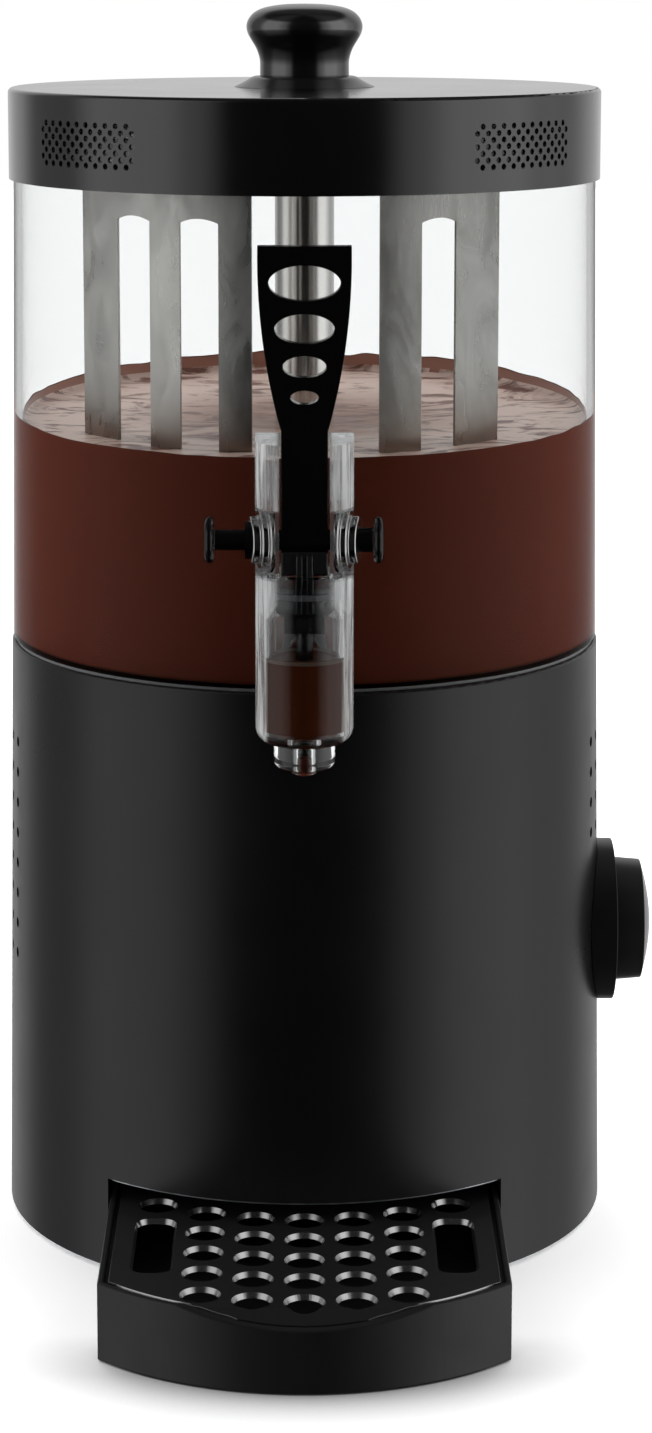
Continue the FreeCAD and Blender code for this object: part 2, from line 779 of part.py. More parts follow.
def tap_foot_trim():
    """Ring that rounds off the tap body's bottom edge."""
    edge = "tap_radius"
    trim = turned(
        [
            (edge, "tap_bottom_z + 6"),
            (f"{edge} - 5.5", "tap_bottom_z", f"{edge} - 1.4", "tap_bottom_z + 2"),
            (f"{edge} - 5.5", "tap_bottom_z - 1"),
            (f"{edge} + 1", "tap_bottom_z - 1"),
            (f"{edge} + 1", "tap_bottom_z + 6"),
        ]
    )
    return place(trim, ("0", "-tap_distance", "0"))


def tap_fittings():
    """Nozzle, gasket, nut and pivot pin of the tap."""
    axis_y = "-tap_distance"
    nozzle = turned(
        [
            ("nozzle_bore_radius", "tap_bottom_z"),
            ("nozzle_bore_radius", "tap_bottom_z - nozzle_drop - nozzle_lip"),
            ("nozzle_bore_radius + 1.5", "tap_bottom_z - nozzle_drop - nozzle_lip"),
            ("nozzle_bore_radius + 2.4", "tap_bottom_z - nozzle_drop"),
            ("nozzle_radius - 2.6", "tap_bottom_z - nozzle_drop"),
            (
                "nozzle_radius", "tap_bottom_z - nozzle_drop + 3",
                "nozzle_radius - 0.8", "tap_bottom_z - nozzle_drop + 0.9",
            ),
            ("nozzle_radius", "tap_bottom_z"),
        ]
    )
    subpart("tap_nozzle", place(nozzle, ("0", axis_y, "0")))
    gasket_y = "-pad_outer_distance - seal_thick"
    gasket = ring("inlet_flange_radius", "inlet_radius", "seal_thick", ("0", gasket_y, "inlet_z"), "Y")
    subpart("tap_gasket", gasket)
    points = []
    for corner in range(6):
        angle = math.radians(60 * corner)
        points.append((f"nut_radius * {math.cos(angle):.6f}", f"nut_radius * {math.sin(angle):.6f}"))
    nut_body = padded(points, "nut_thick")
    place(nut_body, ("0", "-pad_inner_distance", "inlet_z"), ROTATIONS["Y"])
    nut_hole = cylinder("inlet_radius", 10, ("0", "-pad_inner_distance - 1", "inlet_z"), "Y")
    subpart("tap_nut", cut(nut_body, nut_hole))

    pivot = (axis_y, "pivot_z")
    washers = []
    for side in (-1, 1):
        for step in range(3):
            middle = f"{side} * (slot_half_width + web_thick + washer_thick / 2 + {step} * washer_pitch)"
            at = (f"{middle} - washer_thick / 2", *pivot)
            radius = f"washer_radius - 0.1 - {step} * washer_step"
            washers.append(ring(radius, "pin_radius", "washer_thick", at, "X"))
    subpart("pivot_washers", group(*washers))
    last = "slot_half_width + web_thick + washer_thick + 2 * washer_pitch"
    collar = ring("pin_radius + 3", "pin_radius", 2.4, (f"-({last}) - 2.4", *pivot), "X")
    subpart("pivot_collar", collar)
    shaft = cylinder(
        "pin_radius", "pin_left_reach + pin_right_reach - 2", ("-pin_left_reach + 1", *pivot), "X"
    )
    subpart("pivot_pin", fuse(shaft, pin_head("-pin_left_reach", 1)))
    sleeve = ring(
        "pin_radius + 0.7", "pin_radius", f"pin_right_reach - 2 - ({last})", (last, *pivot), "X"
    )
    shaft_room = cylinder("pin_radius", "pin_right_reach - 1", ("0", *pivot), "X")
    cap = cut(pin_head("pin_right_reach", -1), shaft_room)
    cover = cylinder("pin_radius + 0.7", 0.9, ("pin_right_reach - 1", *pivot), "X")
    subpart("pivot_pin_cap", fuse(cap, sleeve, cover))


def pin_head(outer_x, inward):
    """Disc with a rounded rim at one end of the pivot pin; inward is the way to the tap, 1 or -1."""
    head = turned(
        [
            ("0", "0"),
            ("pin_head_radius - 1.2", "0"),
            ("pin_head_radius - 1.2", "pin_head_thick", "pin_head_radius", "pin_head_thick / 2"),
            ("0", "pin_head_thick"),
        ]
    )
    start = outer_x if inward > 0 else f"{outer_x} - pin_head_thick"
    return place(head, (start, "-tap_distance", "pivot_z"), ROTATIONS["X"])


def tap_lever():
    """Lever: flared plate with four elliptical holes, a stem, and a forked crank behind the pivot."""
    half = "lever_thick / 2"
    middle_z = "(lever_top_z + lever_neck_z) / 2"
    waist = "(lever_top_half_width + lever_neck_half_width) / 2 + lever_bulge"
    plate = padded(
        [
            ("-lever_top_half_width", "lever_top_z"),
            ("-lever_neck_half_width", "lever_neck_z", f"-({waist})", middle_z),
            ("lever_neck_half_width", "lever_neck_z"),
            ("lever_top_half_width", "lever_top_z", waist, middle_z),
        ],
        "lever_thick",
        "XZ_Plane",
        f"tap_distance - {half}",
    )
    holes = []
    for depth, scale in ((12.6, 1.0), (28.1, 0.83), (41.0, 0.605), (51.5, 0.39)):
        holes.append(ellipse_hole(f"lever_hole_half_width * {scale}", f"lever_top_z - {depth}"))
    depth = "stem_depth / 2"
    stem = slab(
        "stem_half_width", f"-tap_distance - {depth}", f"-tap_distance + {depth}", "pivot_z",
        "lever_neck_z + 2",
    )
    pivot = ("-tap_distance", "pivot_z")
    hub = cylinder(depth, "2 * stem_half_width", ("-stem_half_width", *pivot), "X")
    ear_radius = "crank_pin_radius + 1.3"
    crank_y = "-tap_distance + crank_arm"
    arm = slab(
        "stem_half_width", "-tap_distance", crank_y, f"pivot_z - ({ear_radius})", f"pivot_z + {ear_radius}"
    )
    knuckle = cylinder(ear_radius, "2 * stem_half_width", ("-stem_half_width", crank_y, "pivot_z"), "X")
    fork_gap = slab("yoke_half_width + 0.6", f"-tap_distance + {depth}", "-100", 200, 330)
    crank_bore = cylinder("crank_pin_radius", 40, ("-20", crank_y, "pivot_z"), "X")
    pin_bore = cylinder("pin_radius + running_gap", 40, ("-20", *pivot), "X")
    body = fuse(plate, stem, hub, arm, knuckle)
    subpart("tap_lever", cut(body, fork_gap, crank_bore, pin_bore, *holes))
    crank_place = ("-stem_half_width", crank_y, "pivot_z")
    subpart("crank_pin", cylinder("crank_pin_radius", "2 * stem_half_width", crank_place, "X"))


def ellipse_hole(half_width, height):
    """Elliptical drill along Y, half as high as it is wide."""
    ellipse = DOC.addObject("Part::Ellipse", "Ellipse")
    bind(ellipse, MajorRadius=half_width, MinorRadius=f"({half_width}) / 2")
    place(ellipse, ("0", "-tap_distance - 20", height), ROTATIONS["Y"])
    drill = DOC.addObject("Part::Extrusion", "EllipseDrill")
    drill.Base = ellipse
    drill.DirMode = "Custom"
    drill.Dir = FreeCAD.Vector(0, 1, 0)
    drill.LengthFwd = 40
    drill.Solid = True
    return drill


def plunger():
    """Plunger with its yoke, the rubber ring on its cup, and the rubber valve on its end."""
    axis_y = "-tap_distance"
    groove_z = "cup_bottom_z + 7"
    cup = turned(
        [
            ("0", "cup_bottom_z - 4.6"),
            ("valve_radius", "cup_bottom_z - 4.6"),
            ("valve_radius", "cup_bottom_z"),
            ("cup_radius", f"{groove_z} - 1", "cup_radius - 1.4", "cup_bottom_z + 1.9"),
            ("cup_radius", groove_z),
            ("cup_radius - 1.2", groove_z),
            ("cup_radius - 1.2", f"{groove_z} + 2"),
            ("cup_radius", f"{groove_z} + 2"),
            ("cup_radius", "cup_top_z"),
            ("0", "cup_top_z"),
        ]
    )
    place(cup, ("0", axis_y, "0"))
    web = slab(2.4, f"{axis_y} - 6", f"{axis_y} + 6", "cup_top_z - 1", "plunger_head_z")
    head = slab("stem_half_width", f"{axis_y} - 6", f"{axis_y} + 8", "plunger_head_z - 2", "plunger_head_z")
    crank_y = f"{axis_y} + crank_arm"
    yoke_front, yoke_back = f"{crank_y} - yoke_reach", f"{crank_y} + yoke_reach"
    yoke = slab("yoke_half_width", yoke_front, yoke_back, "plunger_head_z - 1", "pivot_z + 5")
    # The pin slides along this slot as the crank swings.
    slot_half = "(crank_pin_radius + 0.2)"
    slot = slab(
        "yoke_half_width + 1", f"{crank_y} - 3", f"{crank_y} + 2.6", f"pivot_z - {slot_half}",
        f"pivot_z + {slot_half}",
    )
    valve_z = "tap_bottom_z + chamber_floor"
    rod_z = f"({valve_z} + valve_thick)"
    rod = cylinder("plunger_rod_radius", f"cup_bottom_z - 4 - {rod_z}", ("0", axis_y, rod_z))
    subpart("plunger", cut(fuse(cup, web, head, yoke, rod), slot))
    ring_z = ("0", axis_y, groove_z)
    subpart("plunger_ring", ring("chamber_radius - running_gap", "cup_radius - 1.2", 2, ring_z))
    subpart("plunger_valve", cylinder("valve_radius", "valve_thick", ("0", axis_y, valve_z)))


# ---------------------------------------------------------------- agitator


PANELS = {
    "left_paddle": ((-62.0, -47.4), (-37.1, -29.0), (-19.4, -11.8)),
    "right_paddle": ((17.0, 27.0), (36.2, 50.0)),
}


def wedge(inner, outer, start, end, z_from, z_to):
    """Part of a ring between two azimuths from the front."""
    span = end - start
    obj = DOC.addObject("Part::Cylinder", "Wedge")
    bind(obj, Radius=outer, Height=f"({z_to}) - ({z_from})", Angle=span)
    hole = DOC.addObject("Part::Cylinder", "WedgeHole")
    bind(hole, Radius=inner, Height=f"({z_to}) - ({z_from})", Angle=span)
    turn = FreeCAD.Rotation(FreeCAD.Vector(0, 0, 1), azimuth_rotation(start))
    place(obj, ("0", "0", z_from), turn)
    place(hole, ("0", "0", z_from), turn)
    return cut(obj, hole)


def paddle(label, bars):
    """Curved sheet between two azimuths, with a window between each pair of bars."""
    inner, outer = "panel_radius - panel_thick / 2", "panel_radius + panel_thick / 2"
    sheet = wedge(inner, outer, bars[0][0], bars[-1][1], "panel_bottom_z", "shaft_top_z")
    windows = []
    for left, right in zip(bars, bars[1:]):
        middle = (left[1] + right[0]) / 2
        half = value("panel_radius") * math.radians(right[0] - left[1]) / 2
        arch = padded(
            [
                (str(-half), "window_bottom_z"),
                (str(half), "window_bottom_z"),
                (str(half), "window_top_z - 1.6"),
                (str(-half), "window_top_z - 1.6", "0", "window_top_z"),
            ],
            20,
            "XZ_Plane",
            "panel_radius - 10",
        )
        windows.append(turned_copy(arch, middle))
    return subpart(label, cut(sheet, *windows))


def agitator():
    """Stainless tube that turns about the stack, with spokes, paddles and the drive hub."""
    plug_radius = "tube_radius - tube_wall"
    tube = ring("tube_radius", plug_radius, "shaft_top_z - tube_bottom_z", ("0", "0", "tube_bottom_z"))
    subpart("agitator_tube", tube)
    for label, bars in PANELS.items():
        paddle(label, bars)
    azimuths = []
    for bars in PANELS.values():
        azimuths.append((bars[0][0] + bars[0][1]) / 2)
        azimuths.append((bars[-1][0] + bars[-1][1]) / 2)
    upper = [cylinder(15, "spoke_thick", ("0", "0", "shaft_top_z"))]
    lower = []
    for azimuth in azimuths:
        arm = box(
            ("5", "-spoke_width / 2", "shaft_top_z"), ("panel_radius - 4.5", "spoke_width", "spoke_thick")
        )
        upper.append(turned_copy(arm, azimuth_rotation(azimuth)))
        low = box(
            ("tube_radius - 0.8", "-spoke_width / 2", "panel_bottom_z"),
            ("panel_radius - tube_radius + 0.2", "spoke_width", "spoke_thick"),
        )
        lower.append(turned_copy(low, azimuth_rotation(azimuth)))
    subpart("upper_spokes", cut(fuse(*upper), cylinder(plug_radius, 10, ("0", "0", "shaft_top_z - 2"))))
    inside = cylinder("panel_radius - panel_thick / 2", 10, ("0", "0", "panel_bottom_z - 1"))
    collar = cylinder("tube_radius + 2", 4, ("0", "0", "panel_bottom_z"))
    spokes = common(fuse(collar, *lower), inside)
    tube_hole = cylinder("tube_radius", 20, ("0", "0", "panel_bottom_z - 5"))
    subpart("lower_spokes", cut(spokes, tube_hole))

    top = "shaft_top_z + spoke_thick"
    plug_length = "tang_length - 0.5 + spoke_thick"
    plug = cylinder(plug_radius, plug_length, ("0", "0", f"{top} - ({plug_length})"))
    flange = cylinder(14, 3.5, ("0", "0", top))
    socket_z = "shaft_top_z - tang_length - 1"
    socket = common(
        cylinder("shaft_radius + 0.2", "tang_length + 1.4", ("0", "0", socket_z)),
        slab("tang_thick / 2 + 0.12", -10, 10, socket_z, "shaft_top_z + 2"),
    )
    subpart("agitator_hub", cut(fuse(plug, flange), socket))
    nut = turned(
        [
            ("0", "0"),
            ("6.5", "0"),
            ("6.5", "1.6"),
            dome("6.5", "1.6", "4.4"),
        ]
    )
    subpart("agitator_cap", place(nut, ("0", "0", f"{top} + 3.5")))


# ---------------------------------------------------------------- lid


def lid():
    """Sheet-metal lid with a hanging skirt, a ledge that sits on the bowl and two perforated patches."""
    inner = "lid_radius - sheet_metal"
    shell = turned(
        [
            ("0", "lid_top_z"),
            ("lid_radius", "lid_top_z"),
            ("lid_radius", "lid_bottom_z"),
            (inner, "lid_bottom_z"),
            (inner, "bowl_top_z"),
            ("lid_ledge_radius", "bowl_top_z"),
            ("lid_ledge_radius", "bowl_top_z + sheet_metal"),
            (inner, "bowl_top_z + sheet_metal"),
            (inner, "lid_top_z - sheet_metal"),
            ("0", "lid_top_z - sheet_metal"),
        ]
    )
    rounded(shell, "lid_edge_round", ["lid_top_z"], "lid_radius")
    step = math.degrees(value("lid_hole_arc_pitch") / value("lid_radius"))
    places = []
    for side in (-1, 1):
        for level in range(7):
            count = 11 if level % 2 else 10
            height = value("lid_hole_top_z") - level * value("lid_hole_row_pitch")
            for index in range(count):
                azimuth = value("lid_patch_angle") + (index - (count - 1) / 2) * step
                places.append((side * azimuth, height))
    holes = hole_field(value("lid_hole_radius"), value("lid_radius") - 4, value("lid_radius") + 4, places)
    screw_hole = cylinder("knob_screw_radius", 10, ("0", "0", "lid_top_z - 5"))
    subpart("lid_shell", cut(shell, holes, screw_hole))


def lid_knob():
    """Turned knob on a conical foot, held by a screw from below."""
    foot = turned(
        [
            ("knob_screw_radius", "lid_top_z"),
            ("knob_foot_radius", "lid_top_z"),
            (
                "knob_foot_radius - 6.6", "lid_top_z + knob_foot_height - 0.4",
                "knob_foot_radius - 2.6", "lid_top_z + 1.2",
            ),
            ("knob_foot_radius - 7.8", "lid_top_z + knob_foot_height"),
            ("knob_screw_radius", "lid_top_z + knob_foot_height"),
        ]
    )
    subpart("knob_foot", foot)
    knob = turned(
        [
            ("0", "lid_top_z + knob_foot_height"),
            ("knob_neck_radius", "lid_top_z + knob_foot_height"),
            ("knob_neck_radius", "lid_top_z + 2 * knob_foot_height"),
            ("knob_radius - 2.9", "knob_top_z - 15.7", "knob_neck_radius + 0.7", "knob_top_z - 18.9"),
            ("knob_radius - 2.2", "knob_top_z - 5", "knob_radius", "knob_top_z - 9.8"),
            ("knob_radius - 6.8", "knob_top_z - 1.6", "knob_radius - 4.1", "knob_top_z - 2.8"),
            dome("knob_radius - 6.8", "knob_top_z - 1.6", "knob_top_z"),
        ]
    )
    screw_hole = cylinder("knob_screw_radius", 12, ("0", "0", "lid_top_z + knob_foot_height"))
    subpart("lid_knob", cut(knob, screw_hole))
    under = "lid_top_z - sheet_metal"
    shank = cylinder("knob_screw_radius", "knob_screw_length", ("0", "0", under))
    head = cylinder(4.5, 2.4, ("0", "0", f"{under} - 2.4"))
    subpart("knob_screw", fuse(shank, head))


# ---------------------------------------------------------------- drip tray


def tray_outline(inset, back_y):
    """Plan of the tray: straight back and sides, and a front that bulges in one arc."""
    side = f"(tray_half_width - ({inset}))"
    corner_y = f"-(tray_corner_y - ({inset}) * 0.75)"
    return [
        (f"-{side}", back_y),
        (f"-{side}", corner_y),
        (side, corner_y, "0", f"-(tray_front_y - ({inset}))"),
        (side, back_y),
    ]


def front_bevel():
    """Block above a sloping plane, which takes the front rim down to the finger lip."""
    run = value("tray_front_y - bevel_start_y")
    slope = math.degrees(math.atan2(value("tray_rim_z - tray_lip_z"), run))
    block = DOC.addObject("Part::Box", "Bevel")
    block.Length, block.Width, block.Height = 200, 60, 30
    turn = FreeCAD.Rotation(FreeCAD.Vector(1, 0, 0), slope)
    # The block's lower back edge lies on the line where the bevel starts.
    back = turn.multVec(FreeCAD.Vector(-100, -60, 0))
    x, y, z = (f"({number:.6f})" for number in back)
    return place(block, (x, f"-bevel_start_y + {y}", f"tray_rim_z + {z}"), turn)


def drip_tray():
    """Tray with a basin, a ledge for the grille and a skirt that reaches nearly to the table."""
    rim, floor = "tray_rim_z", "tray_floor_z"
    tub = padded(tray_outline("0", "-tray_back_y"), f"{rim} - {floor}", offset=floor)
    basin = padded(
        tray_outline("tray_wall", "-tray_back_y - tray_wall"), "40", offset=f"{floor} + tray_wall"
    )
    skirt = padded(tray_outline("0", "-tray_skirt_y"), f"{floor} - tray_skirt_z", offset="tray_skirt_z")
    hollow = padded(tray_outline("tray_wall", "-tray_skirt_y + 1"), floor)
    ledge = padded(
        tray_outline("tray_wall", "-tray_back_y - tray_wall"), "2", offset="grille_top_z - grille_thick - 2"
    )
    ledge_hole = padded(
        tray_outline("tray_wall + 4", "-tray_back_y - tray_wall - 4"), "20", offset="grille_top_z - 10"
    )
    lip_gap = slab("lip_half_width + 0.5", -210, "-bevel_start_y + 2.5", 10, "tray_rim_z")
    walls = fuse(cut(tub, basin), cut(skirt, hollow), cut(ledge, ledge_hole, lip_gap))
    return subpart("drip_tray", cut(walls, front_bevel()))


def drip_grille():
    """Grille plate with bowed rows of round holes, two long slots and a sloping front lip."""
    inset = "tray_wall + grille_gap"
    low = "grille_top_z - grille_thick"
    nose = "grille_thick / 2"
    nose_y = f"-tray_back_y - tray_wall - 0.5 - {nose}"
    plate = padded(tray_outline(inset, nose_y), "grille_thick", offset=low)
    # The plate rolls on its round back edge when its lip is lifted.
    nose_start = f"-(tray_half_width - ({inset}))"
    roller = cylinder(nose, f"-2 * ({nose_start})", (nose_start, nose_y, f"{low} + {nose}"), "X")
    front = padded(
        tray_outline("tray_wall + 0.4", "-tray_corner_y + 10"),
        "tray_rim_z - lip_bottom_z",
        offset="lip_bottom_z",
    )
    lip_block = slab("lip_half_width", -210, "-bevel_start_y + 2", "lip_bottom_z", "grille_top_z")
    lip = common(front, lip_block)
    holes = []
    for column in range(-3, 4):
        x = f"({column} * grille_column_pitch)"
        count = 1 if abs(column) == 3 else 5
        for level in range(count):
            y = f"-(grille_hole_first_y - grille_row_bow * {x}^2 + {level} * grille_row_pitch)"
            holes.append(cylinder("grille_hole_radius", 30, (x, y, "10")))
    for side in (-1, 1):
        holes.append(grille_slot(side))
        notch = box((f"{side} * (tray_half_width - {inset}) - 1.5", "-104", "10"), ("3", "2.4", "30"))
        holes.append(notch)
    return subpart("drip_grille", cut(fuse(plate, roller, lip), front_bevel(), *holes))


def grille_slot(side):
    """Long slot with rounded corners, beside the round holes."""
    middle_x = f"({side} * 3 * grille_column_pitch)"
    middle_y = "-(grille_hole_first_y + 24)"
    half_x, half_y = "grille_slot_half_width", "grille_slot_half_length"
    corner = "grille_slot_corner"
    bars = [
        ((half_x, f"{half_y} - {corner}")),
        ((f"{half_x} - {corner}", half_y)),
    ]
    blocks = []
    for reach_x, reach_y in bars:
        low = (f"{middle_x} - ({reach_x})", f"{middle_y} - ({reach_y})", "10")
        blocks.append(box(low, (f"2 * ({reach_x})", f"2 * ({reach_y})", "30")))
    for sign_x in (-1, 1):
        for sign_y in (-1, 1):
            at = (
                f"{middle_x} + {sign_x} * ({half_x} - {corner})",
                f"{middle_y} + {sign_y} * ({half_y} - {corner})",
                "10",
            )
            blocks.append(cylinder(corner, 30, at))
    return fuse(*blocks)


# ---------------------------------------------------------------- build, check and write


def check_document():
    """Stops if an object failed or a sub-part's shape is missing or not valid."""
    DOC.recompute()
    failed = [obj.Name for obj in DOC.Objects if {"Invalid", "Error"} & set(obj.State)]
    if failed:
        raise RuntimeError(f"objects that failed: {failed}")
    for part in SUBPARTS:
        shape = part.Shape
        if shape.isNull() or not shape.isValid() or not shape.Solids or shape.Volume <= 0:
            raise RuntimeError(f"sub-part {part.Label} has no valid solid")


def main():
    """Builds every sub-part in order and writes each one to its own STEP file."""
    casing_shell()
    base_parts()
    tray_bay()
    water_bath()
    drive()
    control()
    wiring()
    bowl_shell()
    tap_housing()
    tap_fittings()
    tap_lever()
    plunger()
    agitator()
    lid()
    lid_knob()
    drip_tray()
    drip_grille()
    check_document()
    os.makedirs("parts", exist_ok=True)
    for part in SUBPARTS:
        part.Shape.exportStep(f"parts/{part.Label}.step")
        print(f"{part.Label}: {len(part.Shape.Solids)} solid(s), {part.Shape.Volume:.0f} mm3")


main()
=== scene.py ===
"""Looks of the hot chocolate dispenser machine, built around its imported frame."""

import logging
import math
from dataclasses import dataclass
from enum import Enum
from typing import Any, Callable, Sequence

import bmesh
import bpy
from bpy.types import Material, Node, NodeSocket, NodeTree
from mathutils import Matrix, Vector, noise


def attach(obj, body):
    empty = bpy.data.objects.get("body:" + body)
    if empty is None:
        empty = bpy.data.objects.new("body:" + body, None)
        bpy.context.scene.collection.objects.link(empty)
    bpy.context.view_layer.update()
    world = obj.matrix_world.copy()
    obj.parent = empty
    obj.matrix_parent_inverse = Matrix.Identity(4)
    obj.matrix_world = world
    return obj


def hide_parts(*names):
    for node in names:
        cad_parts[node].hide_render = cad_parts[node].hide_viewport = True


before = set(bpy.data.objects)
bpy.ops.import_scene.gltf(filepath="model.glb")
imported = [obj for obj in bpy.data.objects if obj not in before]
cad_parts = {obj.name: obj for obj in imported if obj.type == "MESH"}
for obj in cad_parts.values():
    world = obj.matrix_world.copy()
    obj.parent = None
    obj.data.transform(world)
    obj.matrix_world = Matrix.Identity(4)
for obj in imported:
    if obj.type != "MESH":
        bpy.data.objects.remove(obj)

LOG = logging.getLogger("dispenser")
MM = 0.001
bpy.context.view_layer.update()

Piece = bpy.types.Object
Corner = Sequence[float]
Point = tuple[float, float]
Place = tuple[float, float, float]


class Body(str, Enum):
    """Rigid bodies of the machine that a piece can ride on."""

    BASE = "base"
    DIAL = "dial"
    BOWL = "bowl"
    LID = "lid"
    LEVER = "tap_lever"
    PLUNGER = "tap_plunger"
    TRAY = "drip_tray"
    GRILLE = "drip_grille"


class Along(Enum):
    """Axis that a turned piece or a grain runs along."""

    X = (1.0, 0.0, 0.0)
    Z = (0.0, 0.0, 1.0)


# ---- colour and nodes


def linear(colour: str) -> tuple[float, float, float, float]:
    """Turns an sRGB hex colour into the linear values that a shader works in.

    Args:
        colour: the colour as "#rrggbb".

    Returns:
        Red, green and blue from 0 to 1, and an alpha of 1.
    """
    channels = [int(colour[start:start + 2], 16) / 255 for start in (1, 3, 5)]
    red, green, blue = [c / 12.92 if c <= 0.04045 else ((c + 0.055) / 1.055) ** 2.4 for c in channels]
    return red, green, blue, 1.0


def per_metre(size_mm: float) -> float:
    """Texture scale whose features are about this many millimetres apart."""
    return 1.0 / (size_mm * MM)


def between(span_mm: Point) -> dict[str, float]:
    """Limits of a ramp that runs over a stretch of the piece, given in millimetres."""
    return {"From Min": span_mm[0] * MM, "From Max": span_mm[1] * MM}


def feed(node: Node, values: dict[Any, Any]) -> None:
    """Gives a node its settings and its incoming links.

    Args:
        node: the node.
        values: by input name, input number or property name: a number, hex text for a colour, a socket,
            or another node, whose first output in use is meant.
    """
    for name, value in values.items():
        if isinstance(value, Node):
            value = next(socket for socket in value.outputs if socket.enabled)
        if isinstance(value, NodeSocket):
            node.id_data.links.new(value, node.inputs[name])
        elif isinstance(name, int) or name in node.inputs:
            node.inputs[name].default_value = linear(value) if isinstance(value, str) else value
        else:
            setattr(node, name, value)


def add_node(tree: NodeTree, kind: str, values: dict[Any, Any] | None = None) -> Node:
    """Adds a node with its settings and its incoming links.

    Args:
        tree: the node tree that gets the node.
        kind: Blender's name for the kind of node, without the words that all of them start with.
        values: what the node gets, as in feed.

    Returns:
        The new node.
    """
    node = tree.nodes.new(f"ShaderNode{kind}")
    feed(node, values or {})
    return node


class Surface:
    """A material under construction: its nodes, its shader, and the object coordinates in metres."""

    usual_noise: Point = (0.3, 0.7)
    smoothest: float = 0.01

    def __init__(self, name: str, colour: str, roughness: float) -> None:
        """Starts with a plain shader.

        Args:
            name: the material's name.
            colour: its sRGB colour.
            roughness: its roughness, which patterns vary around.
        """
        self.material = bpy.data.materials.new(name)
        self.material.use_nodes = True
        self.tree = self.material.node_tree
        self.tree.nodes.clear()
        self.roughness = roughness
        self.shader = add_node(self.tree, "BsdfPrincipled", {"Base Color": colour, "Roughness": roughness})
        add_node(self.tree, "OutputMaterial", {"Surface": self.shader})
        self.place = add_node(self.tree, "TexCoord").outputs["Object"]

    def vary_roughness(self, pattern: Node | NodeSocket, spread: float) -> None:
        """Lets a pattern move the roughness up and down around its value.

        Args:
            pattern: what runs from 0 to 1, mostly in its usual range.
            spread: how far the roughness goes to each side.
        """
        low, high = self.usual_noise
        limits = {"To Min": max(self.roughness - spread, self.smoothest), "To Max": self.roughness + spread}
        limits.update({"From Min": low, "From Max": high, "Value": pattern})
        feed(self.shader, {"Roughness": add_node(self.tree, "MapRange", limits)})

    def emboss(self, pattern: Node | NodeSocket, depth_mm: float, strength: float = 1.0) -> None:
        """Raises the surface where a pattern is high.

        Args:
            pattern: what runs from 0 to 1.
            depth_mm: the real height between its low and high places.
            strength: how much of that shows.
        """
        relief = {"Height": pattern, "Distance": depth_mm * MM, "Strength": strength}
        feed(self.shader, {"Normal": add_node(self.tree, "Bump", relief)})


# ---- finishes

# The grit of moulds and the lines of brushed steel are finer than their sizes here, which are as coarse as
# they need to be to show.


@dataclass(frozen=True)
class Finish:
    """A surface: its name, its colour, and how it scatters light."""

    name: str
    colour: str
    roughness: float = 0.4

    def dress(self, surface: Surface) -> None:
        """Adds what sets this finish apart from plain colour."""

    def make(self) -> Material:
        """Makes the finish's material.

        Returns:
            The new material.
        """
        surface = Surface(self.name, self.colour, self.roughness)
        self.dress(surface)
        return surface.material


@dataclass(frozen=True)
class PowderCoat(Finish):
    """Powder-coated sheet steel: the film levels out to a faint orange peel, so highlights are soft-edged."""

    ior: float = 1.5
    top_coat: float = 0.0
    coat_share: float = 0.6
    peel_mm: float = 1.6
    peel_depth_mm: float = 0.006
    smudge_mm: float = 45.0
    smudge_spread: float = 0.035

    def dress(self, surface: Surface) -> None:
        """Adds the top coat, the faint smudges of handling and the orange peel.

        Args:
            surface: the material under construction.
        """
        coat = {"Coat Weight": self.top_coat, "Coat Roughness": self.roughness * self.coat_share}
        feed(surface.shader, {"IOR": self.ior, **coat})
        smudge = {"Scale": per_metre(self.smudge_mm), "Detail": 4.0, "Roughness": 0.6}
        smudge["Vector"] = surface.place
        surface.vary_roughness(add_node(surface.tree, "TexNoise", smudge), self.smudge_spread)
        peel = {"Scale": per_metre(self.peel_mm), "Vector": surface.place}
        surface.emboss(add_node(surface.tree, "TexNoise", peel), self.peel_depth_mm)


@dataclass(frozen=True)
class MouldedPlastic(Finish):
    """Injection-moulded plastic: it copies the mould's spark-eroded grit, with flow marks in its gloss."""

    ior: float = 1.5
    grit_mm: float = 0.5
    grit_depth_mm: float = 0.01
    flow_mm: float = 30.0
    flow_spread: float = 0.05
    worn_colour: str = ""

    def dress(self, surface: Surface) -> None:
        """Adds the flow marks, the grit and, where there is one, a second tone in patches.

        Args:
            surface: the material under construction.
        """
        melt_flow_and_glint_streaks = {"Scale": per_metre(self.flow_mm), "Detail": 5.0, "Distortion": 0.6, "Vector": surface.place}
        flow = add_node(surface.tree, "TexNoise", melt_flow_and_glint_streaks)
        surface.vary_roughness(flow, self.flow_spread)
        feed(surface.shader, {"IOR": self.ior})
        if self.worn_colour:
            tones = {"data_type": "RGBA", 0: flow, 6: self.colour, 7: self.worn_colour}
            feed(surface.shader, {"Base Color": add_node(surface.tree, "Mix", tones)})
        grit = {"Scale": per_metre(self.grit_mm), "Detail": 3.0, "Vector": surface.place}
        surface.emboss(add_node(surface.tree, "TexNoise", grit), self.grit_depth_mm)


